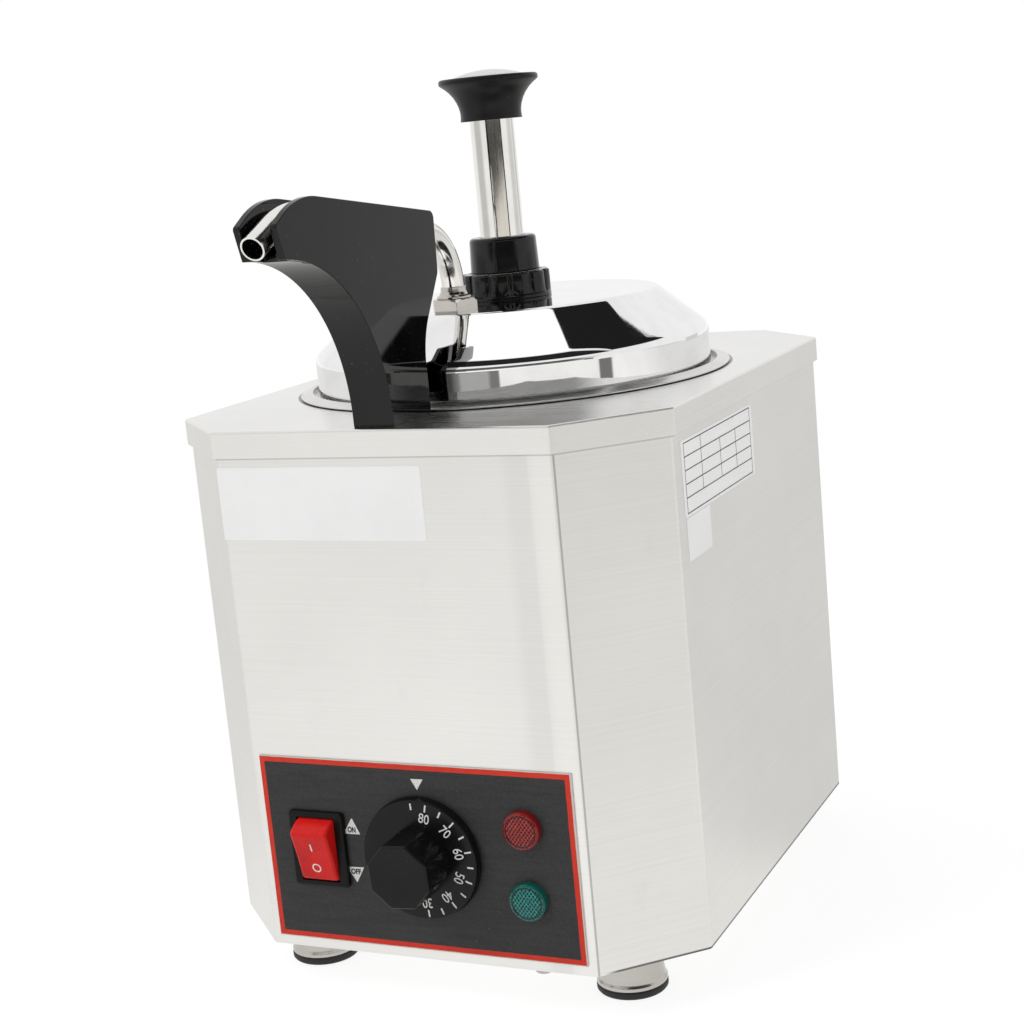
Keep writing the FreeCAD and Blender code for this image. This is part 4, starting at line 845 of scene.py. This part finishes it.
def guard_arc(radius, start, end, steps):
    """(y, z) points round the guard's front curve, between two angles in radians."""
    out = []
    for k in range(steps + 1):
        angle = start + (end - start) * k / steps
        out.append((GUARD_CENTRE[0] + radius * math.cos(angle), GUARD_CENTRE[1] + radius * math.sin(angle)))
    return out


def guard_outline():
    """(y, z) points of the guard's side."""
    nose_y = -184.1
    arc = guard_arc(GUARD_RADIUS, 0.0, math.acos((nose_y - GUARD_CENTRE[0]) / GUARD_RADIUS), 36)
    chain = rounded([(nose_y, arc[-1][1], 0), (-187.8, 304.6, 1.5), (-171.4, 313.85, 36.0), (-74.2, 300.7, 3.0),
                     (-75.2, 277.7, 4.0), (-91.9, 254.3, 30.0), (-91.9, 226.5, 0)], 14)
    return [(-122.2, 226.5)] + arc + chain[1:]


def guard_room():
    """(y, z) points of the channel that holds the tube."""
    floor_z = 231.5
    start_y = GUARD_CENTRE[0] + math.sqrt(ROOM_RADIUS ** 2 - (floor_z - GUARD_CENTRE[1]) ** 2)
    arc = guard_arc(ROOM_RADIUS, math.radians(4.75), math.radians(100), 40)
    out = [(start_y, floor_z)] + [p for p in arc if p[1] > floor_z + 0.1]
    return out + [(-200.0, out[-1][1]), (-200.0, 320.0), (-60.0, 320.0), (-60.0, floor_z)]


def about_tube(outline, half_width):
    """A prism over (y, z) points, as wide on each side of the tube."""
    return across(outline, TUBE_X - half_width, TUBE_X + half_width)


guard = make("guard_channel", about_tube(guard_outline(), 8.4), GUARD, "spout_guard")
# The channel's floor is open at the nose, where the tube points down.
notch = [(-195.0, 291.7), (-175.1, 291.7), (-175.1, 320.0), (-195.0, 320.0)]
cut(guard, [scratch(about_tube(guard_room(), 5.8)), scratch(about_tube(notch, 5.2))])
bevel(guard, 0.5, 3, 28.0, 35.0)


# Dial

def octagon(flats, turn):
    """(x, y) corners of an octagon of a width across flats."""
    radius = flats / 2 / math.cos(math.pi / 8)
    return [polar(radius, turn + 45 * (i + 0.5)) for i in range(8)]


def on_dial(radius, turn):
    """A place on the dial's face, in degrees right of the top, that stands radially."""
    return at(*polar(radius, 90 - turn), 4.59, -turn)


dial_place = to_front(DIAL_X, PANEL_Z)
disc = rounded([(8, 1.0, 0), (8, 3.0, 0), (22.7, 3.0, 0), (22.7, 1.0, 0), (24.2, 1.0, 0.2), (24.3, 1.9, 0.3),
                (23.7, 4.6, 0.55), (14.6, 4.6, 0), (3.05, 4.6, 0), (3.05, 1.0, 0)], 5)
make("dial_disc", spun(disc, 144, closed=True), DIAL, "dial_knob", sharp=38, moved=dial_place)
dial_grip = make("dial_grip", frustum(octagon(25.1, 4.0), 3.2, octagon(24.6, 4.0), 22.4), DIAL, body="dial",
                 moved=dial_place)
bevel(dial_grip, 0.9, 4, 30.0, 45.0)

# Every second of the twelve marks has a number under it.
first_mark, mark_step = -3.9, 16.27
scale = []
for k in range(12):
    long = 2.9 if k % 2 else 2.6
    scale.append((flat_patch(rounded_box(0.66, long, 0.1, 2), 0, 0.05), on_dial(21.3, first_mark + mark_step * k)))
for k, number in enumerate(("80", "70", "60", "50", "40", "30")):
    scale.append((lettering(number, 5.5, 0.05, 0.03),
                  on_dial(17.2, first_mark + mark_step * (2 * k + 1)) @ narrowed(0.84)))
make("dial_scale", joined(scale), WHITE_INK, body="dial", moved=dial_place)


# Panel prints

def triangle(points):
    """A thin print with slightly rounded corners."""
    return flat_patch(closed_round([(x, z, 0.12) for x, z in points], 2), 0, 0.05)


panel_face = to_front(0, 0, 0.57)
prints = [triangle([(-0.2, 92.6), (2.2, 88.3), (5.1, 92.7)]),
          triangle([(-27.7, 75.1), (-32.0, 68.5), (-24.6, 68.6)]),
          triangle([(-32.1, 54.9), (-28.3, 48.7), (-24.5, 55.2)])]
make("panel_marks", joined([(p, Matrix.Identity(4)) for p in prints]), WHITE_INK, body="housing",
     moved=panel_face)
words = [(lettering("ON", 3.1, 0.03, 0.13), at(-28.2, 70.3, 0.045) @ narrowed(0.72)),
         (lettering("OFF", 2.9, 0.03, 0.13), at(-28.3, 53.2, 0.045) @ narrowed(0.84))]
make("panel_words", joined(words), DARK_INK, body="housing", moved=panel_face)


# Rocker

def rocker():
    """The rocker's side outline, run across its width."""
    radius, half_width = 12.7, 8.15
    side = []
    start = math.asin(ROCKER_TOP / radius)
    for k in range(9):
        angle = start - (start + math.radians(26)) * k / 8
        side.append((radius * math.cos(angle), radius * math.sin(angle)))
    other = [(-y, z) for y, z in reversed(side)]
    bottom = [(6.0, -6.0), (-6.0, -6.0)]
    valley = rounded([(-ROCKER_REACH, ROCKER_TOP, 0), (0, ROCKER_TOP - ROCKER_DIP, 60.0),
                      (ROCKER_REACH, ROCKER_TOP, 0)], 10)
    return across(side + bottom + other + valley[1:-1], -half_width, half_width)


rocker_place = to_front(SWITCH_X, PANEL_Z) @ turned(16.0, "X")
red = make("rocker_paddle", rocker(), RED, "switch_rocker", moved=rocker_place)
bevel(red, 1.3, 6, 25.0, 50.0)
slope = math.degrees(math.atan2(ROCKER_DIP, ROCKER_REACH))
sign_depth, sign_z = 0.06, 6.57
circle = spun([(1.4, 0), (1.95, 0), (1.95, sign_depth), (1.4, sign_depth)], 48, closed=True)
signs = [(flat_patch(rounded_box(0.6, 3.5, 0.15, 2), 0, sign_depth), shifted(0, 4.6, sign_z) @ turned(slope, "X")),
         (circle, shifted(0, -5.0, sign_z) @ turned(-slope, "X"))]
make("rocker_signs", joined(signs), WHITE_INK, body="rocker", moved=rocker_place)


# Pilot lamps

def lens_piece(name, node, material, z):
    """A lens cap: rounded ring, and a cut face of small four-sided points."""
    profile = rounded([(5.9, 0.6, 0), (7.35, 0.6, 0), (7.35, 3.3, 0.75), (6.4, 3.75, 0.3), (6.0, 3.55, 0)], 6)
    bm = spun(profile, 96)
    cells, size, face_radius = 56, 12.6, 6.25
    grid = {}
    for i in range(cells + 1):
        for j in range(cells + 1):
            u = -size / 2 + size * i / cells
            v = -size / 2 + size * j / cells
            far = math.hypot(u, v)
            if far > face_radius:
                continue
            a = (u + v * LENS_LEAN) / LENS_PITCH
            b = (u - v * LENS_LEAN) / LENS_PITCH
            peak = (1 - 2 * abs(a % 1 - 0.5)) * (1 - 2 * abs(b % 1 - 0.5))
            swell = 0.42 * (1 - (far / face_radius) ** 2)
            point = 0.5 * peak * min(1.0, (face_radius - far) / 0.5)
            grid[i, j] = bm.verts.new((u, v, 3.5 + swell + point))
    for i, j in grid:
        corners = [(i, j), (i + 1, j), (i + 1, j + 1), (i, j + 1)]
        if all(c in grid for c in corners):
            bm.faces.new([grid[c] for c in corners])
    make(name, bm, material, node, sharp=26, moved=to_front(LENS_X, z))


lens_piece("lens_hot", "red_lamp_lens", LENS_RED, LENS_RED_Z)
lens_piece("lens_on", "green_lamp_lens", LENS_GREEN, LENS_GREEN_Z)


# Feet

cup = rounded([(2.5, 18.3, 0), (12.1, 18.3, 0.8), (12.55, 16.8, 0.5), (12.7, 9.0, 0), (13.1, 5.6, 0.8),
               (13.75, 4.6, 0.4), (13.8, 3.3, 0.25), (12.9, 3.25, 0), (11.6, 16.6, 0.5), (2.5, 17.3, 0)], 5)
pad = rounded([(0, 1.2, 0), (7.0, 1.2, 0), (7.0, 0, 0), (13.2, 0, 0.6), (13.9, 0.9, 0.5), (13.9, 2.6, 0.5),
               (13.4, 3.2, 0.2), (11.2, 3.2, 0), (11.2, 8.2, 0.6), (0, 8.2, 0)], 5)
for corner in CORNERS:
    centre = (FOOT_X if corner.endswith("right") else -FOOT_X, -FOOT_Y if corner.startswith("front") else FOOT_Y)
    make("cup_" + corner, spun(cup, 96, closed=True, centre=centre), SHADED_CUP, "foot_cup_" + corner, sharp=40)
    make("pad_" + corner, spun(pad, 96, centre=centre), RUBBER, "foot_pad_" + corner, sharp=40)


# Blank stickers

def sticker(name, width, height, place):
    """A thin blank plate."""
    make(name, flat_patch(rounded_box(width, height, 0.8, 4), 0.0, 0.12), PAPER, body="housing",
         moved=place)


def ruled_lines(width, height, rows, columns):
    """Thin lines of an empty table: rows at shares of the height, and (share, low, high) columns."""
    half = 0.21
    bars = [(0.0, y, 1.0, y) for y in rows] + [(x, low, x, high) for x, low, high in columns]
    out = []
    for bar in bars:
        x0, y0, x1, y1 = (share * size - size / 2 for share, size in zip(bar, (width, height) * 2))
        corners = [(x0 - half, y0 - half), (x1 + half, y0 - half), (x1 + half, y1 + half), (x0 - half, y1 + half)]
        out.append((flat_patch(corners, 0.12, 0.02), Matrix.Identity(4)))
    return joined(out)


sticker("sticker_front", 87.0, 28.0, to_front(-26.5, 198.5))
sticker("sticker_side", 84.0, 28.5, to_side(-43.0, 198.2))
table = ruled_lines(78.0, 26.0, (0.0, 0.22, 0.415, 0.61, 0.805, 1.0),
                    ((0.0, 0.0, 1.0), (1.0, 0.0, 1.0), (0.24, 0.22, 1.0), (0.52, 0.22, 0.805), (0.76, 0.22, 0.805)))
make("sticker_rules", table, DARK_INK, body="housing", moved=to_side(-43.0, 198.2))
sticker("sticker_side_small", 26.0, 16.0, to_side(-71.0, 175.5))


# Floor, light and camera

def round_tone(g, turn):
    """The studio's tone by its bearing from the camera's side, in degrees."""
    shade = g.mix(g.span(turn, -44.0, -72.0), (1.13, 1.12, 1.105, 1), (0.97, 0.965, 0.95, 1))
    shade = g.mix(g.span(turn, -90.0, -120.0), shade, (0.83, 0.825, 0.81, 1))
    shade = g.mix(g.span(turn, 0.0, 26.0), shade, (1.0, 0.985, 0.965, 1))
    return g.mix(g.span(turn, 72.0, 100.0), shade, (0.79, 0.785, 0.77, 1))


def bearing(g, x, y):
    """Degrees round the object, from the camera's side to the right."""
    around = g.math("ARCTAN2", x, g.times(y, -1.0))
    return g.minus(g.math("DEGREES", around), 25.0)


def studio_floor():
    """A pale disc. The camera sees it white, and polished parts see the studio's tones in it."""
    bm = bmesh.new()
    bmesh.ops.create_circle(bm, cap_ends=True, segments=96, radius=0.62)
    mesh = mesh_from(bm, "studio_floor")
    floor = add_object("studio_floor", mesh)
    material, g = new_material("studio_floor")

    def matt(tone):
        return g.add("ShaderNodeBsdfDiffuse", {"Color": neutral(tone)}).outputs[0]

    def glow(colour, strength):
        return g.add("ShaderNodeEmission", {"Color": colour, "Strength": strength}).outputs[0]

    path = g.add("ShaderNodeLightPath")
    mirrored = g.math("MAXIMUM", path.outputs["Is Glossy Ray"], path.outputs["Is Transmission Ray"])
    bright = g.add("ShaderNodeAddShader", {0: matt(0.2), 1: glow(neutral(1.0), 0.86)}).outputs[0]
    x, y, _ = g.axes(g.place())
    around = glow(round_tone(g, bearing(g, x, y)), 0.78)
    around = g.add("ShaderNodeAddShader", {0: matt(0.22), 1: around}).outputs[0]
    both = g.add("ShaderNodeMixShader", {0: path.outputs["Is Camera Ray"], 1: matt(0.8), 2: bright}).outputs[0]
    both = g.add("ShaderNodeMixShader", {0: mirrored, 1: both, 2: around}).outputs[0]
    g.add("ShaderNodeOutputMaterial", {"Surface": both})
    mesh.materials.append(material)


def studio_world():
    """White round about, with dark cards that the polished parts pick up."""
    world = bpy.data.worlds.new("studio")
    bpy.context.scene.world = world
    world.use_nodes = True
    g = Graph(world.node_tree)
    way = g.add("ShaderNodeTexCoord").outputs["Generated"]
    x, y, z = g.axes(way)
    turn = bearing(g, x, y)

    def level(low, high, soft):
        return g.between(z, low, high, soft)

    def sector(first, last, soft):
        return g.between(turn, first, last, soft)

    def slope(a, b, low, high):
        return g.span(g.plus(g.times(x, a), g.times(y, b)), low, high)

    def layer(below, tone, *shares):
        return g.mix(g.times(*shares), below, tone)

    shade = layer(neutral(0.95), round_tone(g, turn), g.span(z, 0.0, -0.1))

    # The strip that the upright rod mirrors: white and grey, beige with a streaked dark wedge, dark edges
    rod = level(-0.066, 0.012, 0.006)
    beige = sector(-33.0, 41.0, 1.5)
    shade = layer(shade, (1.0, 1.0, 0.995, 1), rod)
    shade = layer(shade, (0.62, 0.62, 0.61, 1), rod, sector(-100.0, -76.0, 20.0))
    shade = layer(shade, (0.72, 0.715, 0.71, 1), rod, sector(88.0, 104.0, 16.0))
    shade = layer(shade, (0.82, 0.785, 0.72, 1), rod, beige)
    streak = g.noise(g.stretched(30.0, 30.0, 2.0, way), 1.0, 4.0, 0.7)
    dark = g.span(streak, 0.35, 0.65, 0.015, 0.1)
    streaks = g.add("ShaderNodeCombineColor", {0: dark, 1: dark, 2: g.times(dark, 0.97)}).outputs[0]
    shade = layer(shade, streaks, rod, g.span(g.minus(turn, g.times(z, 3600.0)), 138.0, 102.0), beige)
    shade = layer(shade, neutral(0.008), rod, sector(-35.0, -27.5, 1.0))
    shade = layer(shade, neutral(0.01), rod, sector(40.5, 45.0, 1.0))

    # Cards that the lid mirrors: their heights, bearings and tones
    for heights, bearings, tone in (
            ((-0.15, -0.108, 0.003), (-34.0, 56.0, 2.0), (0.2, 0.195, 0.19, 1)),
            ((-0.15, -0.118, 0.004), (-30.0, -16.0, 3.0), (0.42, 0.42, 0.41, 1)),
            ((-0.135, -0.1, 0.002), (-8.0, 48.0, 1.5), (0.95, 0.94, 0.92, 1)),
            ((0.45, 0.9, 0.02), (-44.0, 58.0, 6.0), neutral(0.02)),
            ((0.03, 0.21, 0.02), (-40.0, 30.0, 24.0), neutral(0.1)),
            ((-0.103, 0.08, 0.006), (119.0, 133.0, 3.0), neutral(0.68))):
        shade = layer(shade, tone, level(*heights), sector(*bearings))

    # Brighter overhead, and the dark patch on the right of the lid's cone with a grey facet at its tip
    shade = layer(shade, neutral(1.3), g.span(z, 0.945, 0.96), g.span(y, 0.212, 0.2))
    main = g.times(g.span(y, 0.581, 0.573), slope(1.0, -0.44, -0.003, 0.003))
    tail = g.times(g.between(y, 0.55, 0.628, 0.005), g.span(x, 0.2925, 0.2965))
    shade = layer(shade, neutral(0.014), g.math("MAXIMUM", main, tail), slope(0.35, 1.0, 0.277, 0.283),
                  g.span(z, 0.5, 0.55))
    shade = layer(shade, (0.46, 0.455, 0.45, 1), g.between(y, 0.634, 0.672, 0.003), slope(1.0, 0.147, 0.3845, 0.3875),
                  g.between(z, 0.66, 0.72, 0.01))
    seen = g.add("ShaderNodeLightPath").outputs["Is Camera Ray"]
    shade = g.mix(seen, shade, neutral(1.0))
    back = g.add("ShaderNodeBackground", {"Color": shade, "Strength": 1.0}).outputs[0]
    g.add("ShaderNodeOutputWorld", {"Surface": back})


def lamp(name, place, width, height, power):
    """A soft lamp that points at the middle of the object and isn't mirrored."""
    light = bpy.data.lights.new(name, "AREA")
    light.shape = "RECTANGLE"
    light.size = width
    light.size_y = height
    light.energy = power
    piece = add_object(name, light)
    piece.location = place
    middle = Vector((0, 0, 0.15))
    piece.rotation_euler = (middle - Vector(place)).to_track_quat("-Z", "Y").to_euler()
    piece.visible_camera = False
    piece.visible_glossy = False


studio_floor()
studio_world()
lamp("key", (-0.7, -0.9, 1.1), 0.5, 0.5, 5.0)
lamp("fill", (1.0, -0.6, 0.9), 0.5, 0.7, 3.0)

camera_data = bpy.data.cameras.new("camera")
camera_data.lens = 67.87
camera_data.sensor_width = 36.0
camera_data.clip_start = 0.01
camera = add_object("camera", camera_data)
# Columns: the camera's right, up and back, and its place in metres
camera.matrix_world = Matrix(((0.90654, 0.00069, 0.42211, 0.34164), (0.41210, 0.21505, -0.88540, -0.73203),
                              (-0.09139, 0.97660, 0.19467, 0.32884), (0, 0, 0, 1)))
bpy.context.scene.camera = camera
bpy.context.scene.view_settings.view_transform = "Standard"

bpy.context.view_layer.update()
